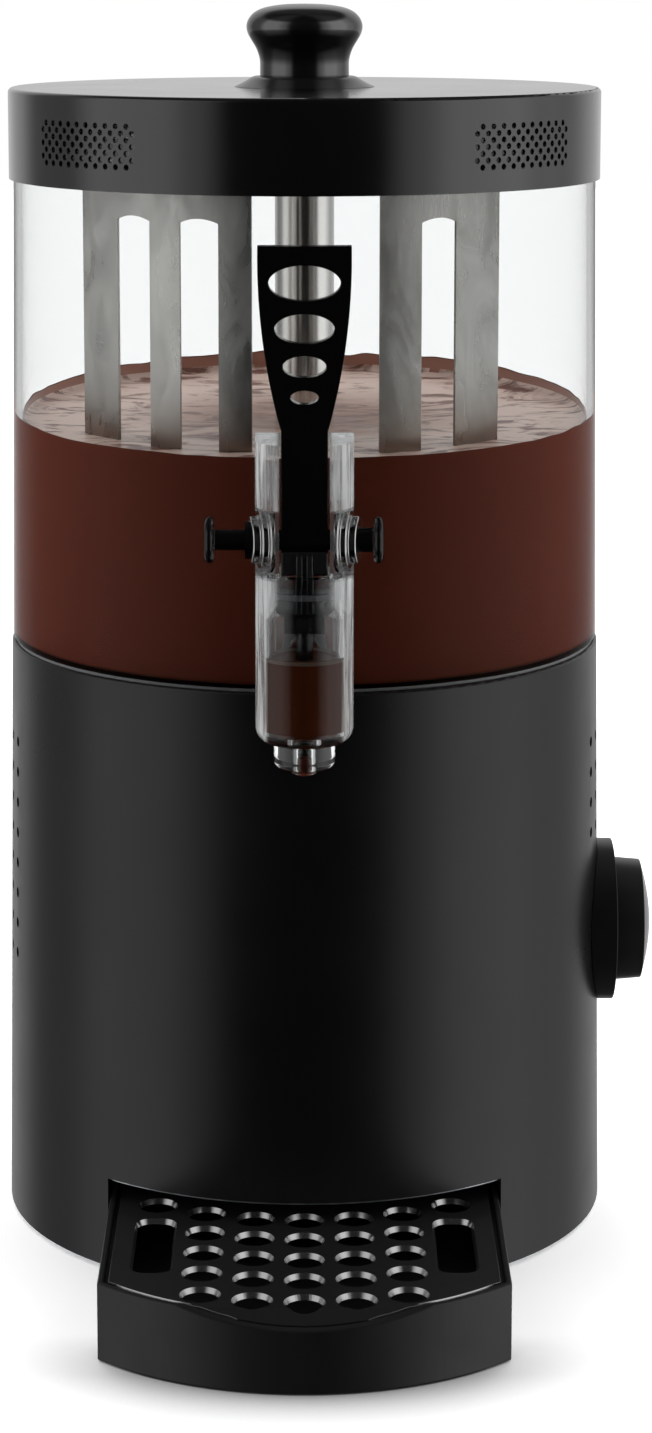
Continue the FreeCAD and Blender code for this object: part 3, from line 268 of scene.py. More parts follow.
@dataclass(frozen=True)
class ClearMoulding(Finish):
    """Clear moulded polycarbonate: it lets light through, and slow waves in its skin wobble the highlights.

    Where it has painted glints, the thick side walls get pale white streaks that stand in for the bright room
    which the walls refract. The streaks start thick_mm from the middle, a little nearer above cheek_foot_mm,
    and leave out a band round the pivot.
    """

    ior: float = 1.58
    shine: float = 0.5
    wave_mm: float = 18.0
    wave_depth_mm: float = 0.02
    painted_glint_haze: float = 0.0
    streak_mm: Point = (2.4, 40.0)
    thick_mm: Point = (12.4, 13.6)
    cheek_foot_mm: Point = (262.0, 268.0)
    cheek_shift_mm: float = 4.0
    pivot_mm: float = 288.0
    pivot_band_mm: Point = (11.5, 12.5)

    def clearness(self, surface: Surface) -> Node:
        """Works out how much light each place lets through.

        Args:
            surface: the material under construction.

        Returns:
            The node whose result is 1 where the plastic is clear.
        """
        tree = surface.tree
        across, _, up = add_node(tree, "SeparateXYZ", {"Vector": surface.place}).outputs
        side = add_node(tree, "Math", {"operation": "ABSOLUTE", 0: across})
        cheek = {"Value": up, **between(self.cheek_foot_mm), "To Max": self.cheek_shift_mm * MM}
        reach = add_node(tree, "Math", {"operation": "ADD", 0: side, 1: add_node(tree, "MapRange", cheek)})
        thick = add_node(tree, "MapRange", {"Value": reach, **between(self.thick_mm)})
        # Pale white streaks: painted glints of the room seen through the thick walls.
        wide, long = (per_metre(size) for size in self.streak_mm)
        along = add_node(tree, "Mapping", {"Vector": surface.place, "Scale": (wide, wide, long)})
        melt_flow_and_glint_streaks = {"Scale": 1.0, "Detail": 4.0, "Roughness": 0.6, "Distortion": 0.6, "Vector": along}
        streaks = {"Value": add_node(tree, "TexNoise", melt_flow_and_glint_streaks), "From Min": 0.36, "From Max": 0.64}
        cloud = add_node(tree, "MapRange", {**streaks, "To Min": 0.25})
        above = add_node(tree, "Math", {"operation": "SUBTRACT", 0: up, 1: self.pivot_mm * MM})
        away = add_node(tree, "Math", {"operation": "ABSOLUTE", 0: above})
        streaked_glints = add_node(tree, "Math", {"operation": "MULTIPLY", 0: thick, 1: cloud})
        beyond = add_node(tree, "MapRange", {"Value": away, **between(self.pivot_band_mm)})
        painted_glint_share = add_node(tree, "Math", {"operation": "MULTIPLY", 0: streaked_glints, 1: beyond})
        return add_node(tree, "MapRange", {"Value": painted_glint_share, "To Min": 1.0, "To Max": 1.0 - self.painted_glint_haze})

    def dress(self, surface: Surface) -> None:
        """Adds the waves and, where there are any, the painted glints.

        Args:
            surface: the material under construction.
        """
        clear = {"IOR": self.ior, "Specular IOR Level": self.shine, "Transmission Weight": 1.0}
        feed(surface.shader, clear)
        if self.painted_glint_haze:
            feed(surface.shader, {"Transmission Weight": self.clearness(surface)})
        wave = {"Scale": per_metre(self.wave_mm), "Detail": 1.0, "Vector": surface.place}
        surface.emboss(add_node(surface.tree, "TexNoise", wave), self.wave_depth_mm)


@dataclass(frozen=True)
class DrawnSteel(Finish):
    """Bare stainless or plated metal, with fine lines that run the way it was brushed or drawn."""

    grain: Along = Along.Z
    line_mm: float = 0.7
    line_length_mm: float = 60.0
    line_depth_mm: float = 0.004
    spread_share: float = 0.3

    def dress(self, surface: Surface) -> None:
        """Adds the metal's lines.

        Args:
            surface: the material under construction.
        """
        feed(surface.shader, {"Metallic": 1.0})
        scale = [per_metre(self.line_length_mm if part else self.line_mm) for part in self.grain.value]
        along = add_node(surface.tree, "Mapping", {"Vector": surface.place, "Scale": scale})
        drawn = {"Scale": 1.0, "Detail": 3.0, "Roughness": 0.6, "Vector": along}
        lines = add_node(surface.tree, "TexNoise", drawn)
        surface.vary_roughness(lines, self.roughness * self.spread_share)
        surface.emboss(lines, self.line_depth_mm)


@dataclass(frozen=True)
class CloudedSteel(Finish):
    """Brushed stainless sheet over hot chocolate: steam dries on it in clouds, and splashes tint its foot.

    The outer part of the left blade is painted paler over a span of x given in millimetres: painted light
    that brightens its outer bars.
    """

    cloud_colour: str = "#dddcd9"
    splash_colour: str = "#85756b"
    left_blade_painted_light_colour: str = "#dbd9d5"
    cloud_mm: float = 44.0
    wisp_mm: float = 13.0
    cloud_flatness: float = 0.42
    splash_mm: Point = (345.0, 312.0)
    left_blade_painted_light_mm: Point = (-24.0, -56.0)
    grain_mm: Point = (0.5, 24.0)
    grain_depth_mm: float = 0.002
    film_metallic: float = 0.3
    film_spread: float = 0.12

    def clouds(self, surface: Surface) -> Node:
        """Adds marbled clouds with fine wisps.

        Args:
            surface: the material under construction.

        Returns:
            The node whose result is the film's density, from 0 to 1.
        """
        tree = surface.tree
        place = {"Vector": surface.place, "Scale": (1.0, 1.0, self.cloud_flatness)}
        stretched = add_node(tree, "Mapping", place)
        broad = {"Scale": per_metre(self.cloud_mm), "Distortion": 1.0, "Vector": stretched}
        wisps = {"Scale": per_metre(self.wisp_mm), "Distortion": 1.6, "Vector": stretched}
        broad_share = {"From Min": 0.3, "From Max": 0.75, "To Max": 0.7}
        wisp_share = {"From Min": 0.35, "From Max": 0.8, "To Max": 0.45}
        layers = [
            add_node(tree, "MapRange", {"Value": add_node(tree, "TexNoise", look), **share})
            for look, share in ((broad, broad_share), (wisps, wisp_share))
        ]
        return add_node(tree, "Math", {"operation": "ADD", "use_clamp": True, 0: layers[0], 1: layers[1]})

    def dress(self, surface: Surface) -> None:
        """Adds the clouds, the painted light on the left blade's outer part, the splashed foot and the
        brushed grain.

        Args:
            surface: the material under construction.
        """
        tree, cloud = surface.tree, self.clouds(surface)
        across, _, up = add_node(tree, "SeparateXYZ", {"Vector": surface.place}).outputs
        # Painted light: a paler colour over the outer part of the left blade.
        left_blade_painted_light = add_node(tree, "MapRange", {"Value": across, **between(self.left_blade_painted_light_mm)})
        rise = add_node(tree, "MapRange", {"Value": up, **between(self.splash_mm)})
        foot = add_node(tree, "Math", {"operation": "MULTIPLY", 0: rise, 1: rise})
        tone: Node | str = self.colour
        layers = ((cloud, self.cloud_colour), (left_blade_painted_light, self.left_blade_painted_light_colour), (foot, self.splash_colour))
        for share, colour in layers:
            tone = add_node(tree, "Mix", {"data_type": "RGBA", 0: share, 6: tone, 7: colour})
        bare = add_node(tree, "MapRange", {"Value": cloud, "To Min": 1.0, "To Max": self.film_metallic})
        feed(surface.shader, {"Base Color": tone, "Metallic": bare})
        surface.vary_roughness(cloud, self.film_spread)
        fine, long = (per_metre(size) for size in self.grain_mm)
        brushed = add_node(tree, "Mapping", {"Vector": surface.place, "Scale": (fine, fine, long)})
        grain = add_node(tree, "TexNoise", {"Scale": 1.0, "Vector": brushed})
        surface.emboss(grain, self.grain_depth_mm)


@dataclass(frozen=True)
class GalvanisedSheet(Finish):
    """Hot-dipped sheet: zinc freezes in flat crystals, each with its own grey."""

    spangle_mm: float = 9.0
    pale_colour: str = "#b9bdc0"
    crystal_spread: float = 0.08

    def dress(self, surface: Surface) -> None:
        """Adds the crystals.

        Args:
            surface: the material under construction.
        """
        spangle = {"Scale": per_metre(self.spangle_mm), "Vector": surface.place}
        crystals = add_node(surface.tree, "TexVoronoi", spangle).outputs["Color"]
        tint, gloss, _ = add_node(surface.tree, "SeparateColor", {"Color": crystals}).outputs
        greys = {"data_type": "RGBA", 0: tint, 6: self.colour, 7: self.pale_colour}
        feed(surface.shader, {"Metallic": 1.0, "Base Color": add_node(surface.tree, "Mix", greys)})
        surface.vary_roughness(gloss, self.crystal_spread)


@dataclass(frozen=True)
class CastMetal(Finish):
    """Sand-cast or stamped soft metal, with the pebbled skin that its mould leaves."""

    pebble_mm: float = 1.4
    pebble_depth_mm: float = 0.06
    pebble_spread: float = 0.08

    def dress(self, surface: Surface) -> None:
        """Adds the pebbled skin.

        Args:
            surface: the material under construction.
        """
        feed(surface.shader, {"Metallic": 1.0})
        skin = {"feature": "SMOOTH_F1", "Scale": per_metre(self.pebble_mm), "Vector": surface.place}
        pebbles = add_node(surface.tree, "TexVoronoi", skin)
        surface.vary_roughness(pebbles, self.pebble_spread)
        surface.emboss(pebbles, self.pebble_depth_mm)


@dataclass(frozen=True)
class Drink(Finish):
    """Hot chocolate against a wall: dense and opaque, with slow clouds in the little gloss that it has."""

    ior: float = 1.1
    cloud_mm: float = 60.0
    cloud_spread: float = 0.04

    def dress(self, surface: Surface) -> None:
        """Adds the clouds.

        Args:
            surface: the material under construction.
        """
        feed(surface.shader, {"IOR": self.ior})
        cloud = {"Scale": per_metre(self.cloud_mm), "Vector": surface.place}
        surface.vary_roughness(add_node(surface.tree, "TexNoise", cloud), self.cloud_spread)


@dataclass(frozen=True)
class Froth(Finish):
    """Top of the drink: wet, palest near the wall, and creased by the paddles into long dark ripples."""

    ior: float = 1.4
    crease_colour: str = "#8d5e50"
    middle_colour: str = "#b58874"
    middle_mm: Point = (28.0, 74.0)
    crease_mm: float = 30.0
    ripple_mm: float = 13.0
    ripple_depth_mm: float = 0.4
    ripple_strength: float = 0.8
    stretch: Place = (1.0, 2.2, 1.0)

    def dress(self, surface: Surface) -> None:
        """Adds the darker middle, the creases and the ripples.

        Args:
            surface: the material under construction.
        """
        tree = surface.tree
        long = add_node(tree, "Mapping", {"Vector": surface.place, "Scale": self.stretch})
        stirred = {"Detail": 5.0, "Roughness": 0.6, "Distortion": 1.8, "Vector": long}
        folds = add_node(tree, "TexNoise", {"Scale": per_metre(self.crease_mm), **stirred})
        creases = add_node(tree, "MapRange", {"Value": folds, "From Min": 0.5, "From Max": 0.38})
        level = add_node(tree, "Mapping", {"Vector": surface.place, "Scale": (1.0, 1.0, 0.0)})
        radius = add_node(tree, "VectorMath", {"operation": "LENGTH", 0: level})
        outward = add_node(tree, "MapRange", {"Value": radius, **between(self.middle_mm)})
        tones = {6: self.middle_colour, 7: self.colour}
        cream = add_node(tree, "Mix", {"data_type": "RGBA", 0: outward, **tones})
        tone = add_node(tree, "Mix", {"data_type": "RGBA", 0: creases, 6: cream, 7: self.crease_colour})
        feed(surface.shader, {"IOR": self.ior, "Base Color": tone})
        fine = {"Scale": per_metre(self.ripple_mm), "Detail": 3.0, "Distortion": 1.2, "Vector": long}
        height = {"operation": "ADD", 0: add_node(tree, "TexNoise", fine), 1: folds}
        surface.emboss(add_node(tree, "Math", height), self.ripple_depth_mm, self.ripple_strength)


# Baked powder coat on sheet steel: black, satin, with soft wide highlights.
CASING_COAT = PowderCoat("black_powder_coat", "#0c0c0c", 0.3)
# The lid's film is baked glossier, so it mirrors the room at a low angle.
LID_COAT = PowderCoat("black_lid_enamel", "#080808", 0.19, ior=1.62, top_coat=0.8, peel_depth_mm=0.003)
# Glass-filled polypropylene, spark-eroded mould: dull black that takes grey highlights on its edges.
TRAY_PLASTIC = MouldedPlastic("black_polypropylene", "#161616", 0.42, grit_mm=0.6, grit_depth_mm=0.012)
# The same plastic against the mould's polished pins: the hole walls come out mirror-smooth.
HOLE_WALL = MouldedPlastic(
    "pin_polished_polypropylene", "#1b1b1c", 0.2, ior=6.0, grit_mm=1.5, grit_depth_mm=0.001
)
# Polished ABS: black with a clear highlight.
GLOSS_PLASTIC = MouldedPlastic("gloss_black_abs", "#070707", 0.14, grit_mm=1.2, grit_depth_mm=0.001)
# Phenolic resin, compression-moulded and buffed: the blackest and shiniest part.
KNOB_RESIN = MouldedPlastic("black_phenolic", "#060606", 0.12, ior=2.2, grit_mm=2.0, grit_depth_mm=0.001)
# ABS from a satin mould, as the dial's side and bezel have it: soft grey highlights.
DIAL_PLASTIC = MouldedPlastic("satin_black_abs", "#1d1d1e", 0.34, grit_depth_mm=0.008)
# The same ABS, polished on the dial's domed face: it mirrors the room.
DIAL_FACE = MouldedPlastic("polished_black_abs", "#1d1d1e", 0.12, ior=1.9, grit_mm=2.0, grit_depth_mm=0.001)
# Acetal turned and polished: black, with a narrow highlight round the cone under the knob.
FOOT_PLASTIC = MouldedPlastic("gloss_black_acetal", "#0c0c0c", 0.22, ior=2.0, grit_depth_mm=0.002)
# Unpolished grey acetal: even and waxy.
GREY_PLASTIC = MouldedPlastic("dark_grey_acetal", "#3a3a3b", 0.38, ior=1.48, grit_depth_mm=0.004)
# Glass-filled polyamide that is wet with the drink: dark, with sharp glints.
PLUNGER_PLASTIC = MouldedPlastic("wet_black_polyamide", "#1e1e1f", 0.2, ior=1.53, grit_depth_mm=0.002)
# Moulded nylon of the cord gland: matte black.
NYLON = MouldedPlastic("black_nylon", "#141414", 0.5, ior=1.53, grit_mm=0.4)
# Natural acetal: off-white and waxy, for the bush and the line let into the dial.
WHITE_ACETAL = MouldedPlastic("white_acetal", "#ded9cc", 0.4, ior=1.48, grit_depth_mm=0.004)
# Urea resin of switchgear: cream, dry-looking, a little darker in patches.
CREAM_RESIN = MouldedPlastic("cream_urea_resin", "#d6cdb4", 0.5, worn_colour="#c4b998")
# The bowl's thin polished wall: all but invisible, with faint highlights.
CLEAR_PLASTIC = ClearMoulding("clear_polycarbonate", "#f4f5f5", 0.0, ior=1.08, shine=0.25)
# The tap's thick walls carry pale white streaks: painted glints of the bright room that they refract.
TAP_CLEAR = ClearMoulding(
    "clear_tap_polycarbonate", "#f4f7f7", 0.015, ior=1.4, shine=0.3, wave_mm=6.0, wave_depth_mm=0.05,
    painted_glint_haze=0.55,
)
# The nozzle's clear tube: uneven inside, so that the drop in it wobbles.
NOZZLE_CLEAR = ClearMoulding("clear_nozzle_polycarbonate", "#f4f7f7", 0.02, wave_mm=5.0, wave_depth_mm=0.08)
# Drawn tube, mirror-polished: only its long drawing lines show.
POLISHED_STEEL = DrawnSteel(
    "polished_stainless", "#eeedea", 0.2, line_mm=6.0, line_length_mm=400.0, line_depth_mm=0.0
)
# Chromed brass rings of the tap's pivot: bright, with sharp dark and white bands.
CHROME = DrawnSteel("chromed_brass", "#dfdfde", 0.07, line_mm=6.0, line_length_mm=400.0, line_depth_mm=0.0)
# Sheet that stands in hot chocolate: brushed and clouded by dried steam; the left blade's outer part is
# painted paler as painted light.
PADDLE_STEEL = CloudedSteel("brushed_stainless", "#8a8884", 0.36)
# Deep-drawn tank: grey, with short lines down its wall.
TANK_STEEL = DrawnSteel("drawn_stainless", "#b9b9b7", 0.22, line_mm=0.8, line_length_mm=40.0)
# Zinc-plated screws and shafts: paler, with a fine turned grain.
PLATED_STEEL = DrawnSteel("zinc_plated_steel", "#b6b8b8", 0.3, grain=Along.X, line_mm=0.4, line_length_mm=6.0)
# Galvanised sheet of the chassis: mottled by its crystals.
ZINC_SHEET = GalvanisedSheet("galvanised_sheet", "#8f9498", 0.38)
# Cast heater ring: dull and pebbled.
ALUMINIUM = CastMetal("cast_aluminium", "#b8babb", 0.42)
# Stamped tags: yellow and nearly smooth.
BRASS = CastMetal("stamped_brass", "#c9a458", 0.28, pebble_depth_mm=0.01)
# Moulded rubber: charcoal, with no clear highlight.
BLACK_RUBBER = MouldedPlastic("black_rubber", "#191919", 0.72, ior=1.52, grit_mm=0.7, grit_depth_mm=0.02)
# Pad-printed ink: matte and slightly thin over its ground.
PRINT_INK = MouldedPlastic("white_print_ink", "#d9d9d6", 0.6, grit_mm=0.3, worn_colour="#c2c2bf")
# Moulded silicone of the seals: mid grey and soft-looking.
SILICONE = MouldedPlastic("grey_silicone", "#6f7072", 0.5, ior=1.41, grit_mm=0.9, grit_depth_mm=0.006)
# Cocoa in hot milk: red-brown and dense.
CHOCOLATE = Drink("hot_chocolate", "#5f2c1f", 0.4)
# The drink in the tap: the same drink, painted darker and browner as painted shade where it stands in the
# tap.
SHADED_TAP_CHOCOLATE = Drink("shaded_tap_chocolate", "#4a210c", 0.4)
# The film that the stirred drink leaves on the wall: thin, so pale and wet.
CHOCOLATE_FILM = Drink("chocolate_film", "#b98371", 0.35, ior=1.38)
# The drink's curved edge in the tap: thin there, so greyer than the rest.
MENISCUS = Drink("meniscus", "#63534a", 0.3)
# Milk froth: cream that dulls to cocoa in its creases.
FROTH = Froth("chocolate_froth", "#fce0d3", 0.3)

# The finish of each node that keeps its own shape.
NODE_FINISHES: dict[Finish, tuple[str, ...]] = {
    CASING_COAT: ("casing_shell", "casing_tabs"),
    LID_COAT: ("lid_shell",),
    ZINC_SHEET: ("base_plate", "tray_bay", "motor_bracket"),
    TANK_STEEL: ("water_tank",),
    CLEAR_PLASTIC: ("bowl_shell",),
    TAP_CLEAR: ("tap_housing", "tap_nozzle"),
    TRAY_PLASTIC: ("drip_tray", "drip_grille"),
    DIAL_PLASTIC: ("control_dial", "dial_bezel"),
    KNOB_RESIN: ("lid_knob",),
    GREY_PLASTIC: ("knob_foot", "plunger"),
    GLOSS_PLASTIC: ("tap_lever", "tap_nut", "pivot_pin", "pivot_pin_cap", "pivot_collar"),
    POLISHED_STEEL: ("agitator_tube", "agitator_hub", "agitator_cap", "pivot_washers"),
    PADDLE_STEEL: ("left_paddle", "right_paddle", "upper_spokes", "lower_spokes"),
    PLATED_STEEL: (
        "drive_shaft", "dial_spindle", "crank_pin", "base_screws", "motor_screws", "knob_screw", "gearbox",
        "motor_can",
    ),
    ALUMINIUM: ("heater_ring",),
    CREAM_RESIN: ("thermostat", "thermal_cutout", "terminal_block"),
    BRASS: ("thermostat_tags",),
    NYLON: ("cord_gland", "gland_nut"),
    WHITE_ACETAL: ("shaft_bush",),
    BLACK_RUBBER: ("rubber_feet",),
    SILICONE: ("bowl_seal", "shaft_seal", "tap_gasket", "plunger_ring", "plunger_valve"),
}


class Finishes:
    """Makes each finish once, when a piece first asks for it."""

    def __init__(self) -> None:
        """Starts with no material made."""
        self.made: dict[Finish, Material] = {}

    def of(self, finish: Finish) -> Material:
        """Gives the material of a finish.

        Args:
            finish: the finish that is wanted.

        Returns:
            Its material, the same one each time.
        """
        if finish not in self.made:
            self.made[finish] = finish.make()
        return self.made[finish]

    def dress_nodes(self) -> None:
        """Puts its finish on every node of the frame."""
        for finish, names in NODE_FINISHES.items():
            for name in names:
                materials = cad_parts[name].data.materials
                materials.clear()
                materials.append(self.of(finish))


# ---- mesh tools

# How many edges a rounded corner of an outline has, and how much of the shorter side it may take.
CORNER_STEPS = 6
SIDE_SHARE = 0.499
# Edges that turn by more degrees than this are rounded, by this many faces.
MOULDED_TURN = 30.0
MOULDED_STEPS = 3
# Vertices of a node nearer than this, in metres, are one, and so are faces that turn by fewer degrees.
SAME_PLACE = 2e-6
SAME_PLANE = 0.6
# A profile's point nearer to the axis than this is on it.
ON_AXIS = 1e-6


def linked(name: str, data: bpy.types.ID) -> Piece:
    """Makes an object of its data and links it to the scene.

    Args:
        name: the object's name.
        data: its mesh, curve, lamp or camera.

    Returns:
        The object.
    """
    thing = bpy.data.objects.new(name, data)
    bpy.context.scene.collection.objects.link(thing)
    return thing


def filleted(corners: Sequence[Corner], closed: bool = True) -> list[Point]:
    """Rounds the corners of an outline.

    Args:
        corners: (u, v) for a sharp corner or (u, v, radius) for a round one.
        closed: whether the last corner joins the first.

    Returns:
        The points of the rounded outline.
    """
    points: list[Point] = []
    count = len(corners)
    for index, corner in enumerate(corners):
        here = Vector(corner[:2])
        at_end = not closed and index in (0, count - 1)
        if len(corner) < 3 or at_end:
            points.append(tuple(here))
            continue
        back = Vector(corners[index - 1][:2]) - here
        ahead = Vector(corners[(index + 1) % count][:2]) - here
        half = back.angle(ahead) / 2
        reach = min(corner[2] / math.tan(half), back.length * SIDE_SHARE, ahead.length * SIDE_SHARE)
        start = here + back.normalized() * reach
        end = here + ahead.normalized() * reach
        for step in range(CORNER_STEPS + 1):
            share = step / CORNER_STEPS
            curve = start * (1 - share) ** 2 + here * 2 * share * (1 - share) + end * share**2
            points.append(tuple(curve))
    return points


def mesh_piece(name: str, build: bmesh.types.BMesh, sharp_angle: float = 35.0) -> Piece:
    """Turns a mesh under construction into a smooth-shaded object, from millimetres to metres.

    Args:
        name: the piece's name.
        build: the mesh, in millimetres, which is used up.
        sharp_angle: edges that turn by more degrees than this stay sharp.

    Returns:
        The object, linked to the scene.
    """
    bmesh.ops.recalc_face_normals(build, faces=build.faces)
    mesh = bpy.data.meshes.new(name)
    build.to_mesh(mesh)
    build.free()
    mesh.transform(Matrix.Scale(MM, 4))
    mesh.shade_smooth()
    mesh.set_sharp_from_angle(angle=math.radians(sharp_angle))
    return linked(name, mesh)


def lathe(
    name: str,
    profile: Sequence[Point],
    segments: int = 160,
    height_at: Callable[[float, float, float], float] | None = None,
    sharp_angle: float = 35.0,
) -> Piece:
    """Turns a profile about the Z axis.

    Args:
        name: the piece's name.
        profile: (radius, height) points; a radius of 0 makes a pole.
        segments: how many steps the full turn has.
        height_at: gives the final height from radius, angle and height, where the form is not quite round.
        sharp_angle: edges that turn by more degrees than this stay sharp.

    Returns:
        The turned piece.
    """
    build = bmesh.new()
    rings = []
    for radius, height in profile:
        ring = []
        for step in range(segments if radius > ON_AXIS else 1):
            turn = 2 * math.pi * step / segments
            level = height_at(radius, turn, height) if height_at else height
            ring.append(build.verts.new((radius * math.cos(turn), radius * math.sin(turn), level)))
        rings.append(ring)
    for low, high in zip(rings, rings[1:]):
        for step in range(segments):
            following = (step + 1) % segments
            corners = [low[step % len(low)], low[following % len(low)]]
            corners += [high[following % len(high)], high[step % len(high)]]
            unique = list(dict.fromkeys(corners))
            if len(unique) > 2:
                build.faces.new(unique)
    return mesh_piece(name, build, sharp_angle)


def stand(piece: Piece, x: float, y: float, z: float, along: Along = Along.Z) -> Piece:
    """Moves a piece's mesh, made about the origin along Z, to its place.

    Args:
        piece: the piece to move.
        x: how far to the right, in millimetres.
        y: how far to the back, in millimetres.
        z: how far up, in millimetres.
        along: where the piece's own Z axis ends up.

    Returns:
        The same piece.
    """
    turn = Vector(Along.Z.value).rotation_difference(Vector(along.value)).to_matrix().to_4x4()
    piece.data.transform(Matrix.Translation(Vector((x, y, z)) * MM) @ turn)
    return piece


def evaluated(piece: Piece) -> bpy.types.Mesh:
    """Gives an object's mesh with its modifiers worked out."""
    graph = bpy.context.evaluated_depsgraph_get()
    return bpy.data.meshes.new_from_object(piece.evaluated_get(graph))


def rounded(piece: Piece, width: float) -> Piece:
    """Rounds a piece's sharp edges.

    Args:
        piece: the piece to round.
        width: how far each rounding reaches, in millimetres.

    Returns:
        The same piece.
    """
    bevel = piece.modifiers.new("Edges", "BEVEL")
    bevel.width = width * MM
    bevel.segments = MOULDED_STEPS
    bevel.limit_method = "ANGLE"
    bevel.angle_limit = math.radians(MOULDED_TURN)
    bevel.miter_outer = "MITER_ARC"
    piece.modifiers.new("Normals", "WEIGHTED_NORMAL").keep_sharp = True
    mesh = evaluated(piece)
    piece.modifiers.clear()
    piece.data = mesh
    return piece


def bar(name: str, low: Place, high: Place, edge: float) -> Piece:
    """Makes a straight moulded bar between two corners, in millimetres, with all its edges rounded.

    Args:
        name: the piece's name.
        low: the corner with the smallest coordinates.
        high: the corner with the largest ones.
        edge: the radius along its edges.

    Returns:
        The bar.
    """
    build = bmesh.new()
    size = Matrix.Diagonal((*(Vector(high) - Vector(low)), 1))
    middle = Matrix.Translation((Vector(low) + Vector(high)) / 2)
    bmesh.ops.create_cube(build, size=1.0, matrix=middle @ size)
    return rounded(mesh_piece(name, build), edge)


def softened(node: str, width: float, reshape: Callable[[bmesh.types.BMesh], None] | None = None) -> Piece:
    """Copies a node and rounds its sharp edges, as a mould or a press leaves them.

    Args:
        node: the node to copy.
        width: how far each rounding reaches, in millimetres.
        reshape: changes the copy, in millimetres, before its edges are rounded.

    Returns:
        The copy, linked to the scene.
    """
    build = bmesh.new()
    build.from_mesh(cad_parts[node].data)
    bmesh.ops.remove_doubles(build, verts=build.verts, dist=SAME_PLACE)
    level = math.radians(SAME_PLANE)
    bmesh.ops.dissolve_limit(build, angle_limit=level, verts=build.verts, edges=build.edges)
    bmesh.ops.scale(build, vec=(1 / MM,) * 3, verts=build.verts)
    if reshape:
        build.normal_update()
        reshape(build)
    return rounded(mesh_piece(f"{node}_finished", build), width)


def joined(name: str, parts: Sequence[Piece]) -> Piece:
    """Joins loose pieces into one that keeps their materials.

    Args:
        name: the joined piece's name.
        parts: the pieces, which are used up.

    Returns:
        The joined piece.
    """
    with bpy.context.temp_override(active_object=parts[0], selected_editable_objects=list(parts)):
        bpy.ops.object.join()
    parts[0].name = name
    return parts[0]


def finish_piece(
    piece: Piece, material: Material, body: Body, stands_for: Sequence[str] = ()
) -> None:
    """Dresses a piece, puts it on its body and reports it.

    Args:
        piece: the finished mesh.
        material: its material.
        body: the body that it moves with.
        stands_for: the nodes that it is shown in place of.
    """
    piece.data.materials.clear()
    piece.data.materials.append(material)
    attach(piece, body.value)
    if stands_for:
        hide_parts(*stands_for)
    LOG.info("%s: %d faces on %s", piece.name, len(piece.data.polygons), body.value)


def dress_faces(piece: Piece, materials: Sequence[Material], which: Callable[[Vector, Vector], int]) -> None:
    """Gives some faces of a dressed piece other materials.

    Args:
        piece: the piece, which has its first material.
        materials: the other ones.
        which: tells from a face's middle, in millimetres, and its normal which one it gets; 0 is the first.
    """
    for material in materials:
        piece.data.materials.append(material)
    for face in piece.data.polygons:
        face.material_index = which(face.center / MM, face.normal)


@dataclass(frozen=True)
class SoftNode:
    """A node that is shown with rounded edges: where it belongs and how far its edges are rounded."""

    node: str
    finish: Finish
    body: Body
    slot: str
    width: float

    def build(self, finishes: Finishes) -> None:
        """Makes the rounded copy."""
        piece = softened(self.node, self.width)
        finish_piece(piece, finishes.of(self.finish), self.body, [self.node])


# ---- bowl and drink


@dataclass
class Bowl:
    """Clear moulded bowl with a centring ring under it and a stack for the drive shaft in its middle."""

    finishes: Finishes
    bottom_z: float = 227.0
    top_z: float = 408.5
    bottom_radius: float = 113.0
    top_radius: float = 110.6
    wall: float = 3.0
    floor: float = 4.0
    spigot_radius: float = 102.0
    spigot_depth: float = 11.0
    stack_radius: float = 8.5
    stack_bore: float = 5.5
    stack_top_z: float = 405.0

    def inner_radius(self, height: float) -> float:
        """Inside radius of the wall at a height."""
        share = (height - self.bottom_z) / (self.top_z - self.bottom_z)
        return self.bottom_radius + (self.top_radius - self.bottom_radius) * share - self.wall

    def build(self) -> None:
        """Makes the bowl."""
        floor_top = self.bottom_z + self.floor
        spigot_bottom = self.bottom_z - self.spigot_depth
        profile = filleted(
            [
                (self.stack_bore, self.bottom_z, 0.5),
                (self.spigot_radius - self.wall, self.bottom_z, 1.0),
                (self.spigot_radius - self.wall, spigot_bottom, 1.0),
                (self.spigot_radius, spigot_bottom, 1.0),
                (self.spigot_radius, self.bottom_z, 0.6),
                (self.bottom_radius, self.bottom_z, 1.2),
                (self.top_radius, self.top_z, 1.2),
                (self.top_radius - self.wall, self.top_z, 1.0),
                (self.inner_radius(floor_top), floor_top, 5.0),
                (self.stack_radius, floor_top, 3.0),
                (self.stack_radius, self.stack_top_z, 1.0),
                (self.stack_bore, self.stack_top_z, 1.0),
            ]
        )
        bowl = lathe("bowl", [*profile, profile[0]], segments=256)
        finish_piece(bowl, self.finishes.of(CLEAR_PLASTIC), Body.BOWL, ["bowl_shell"])


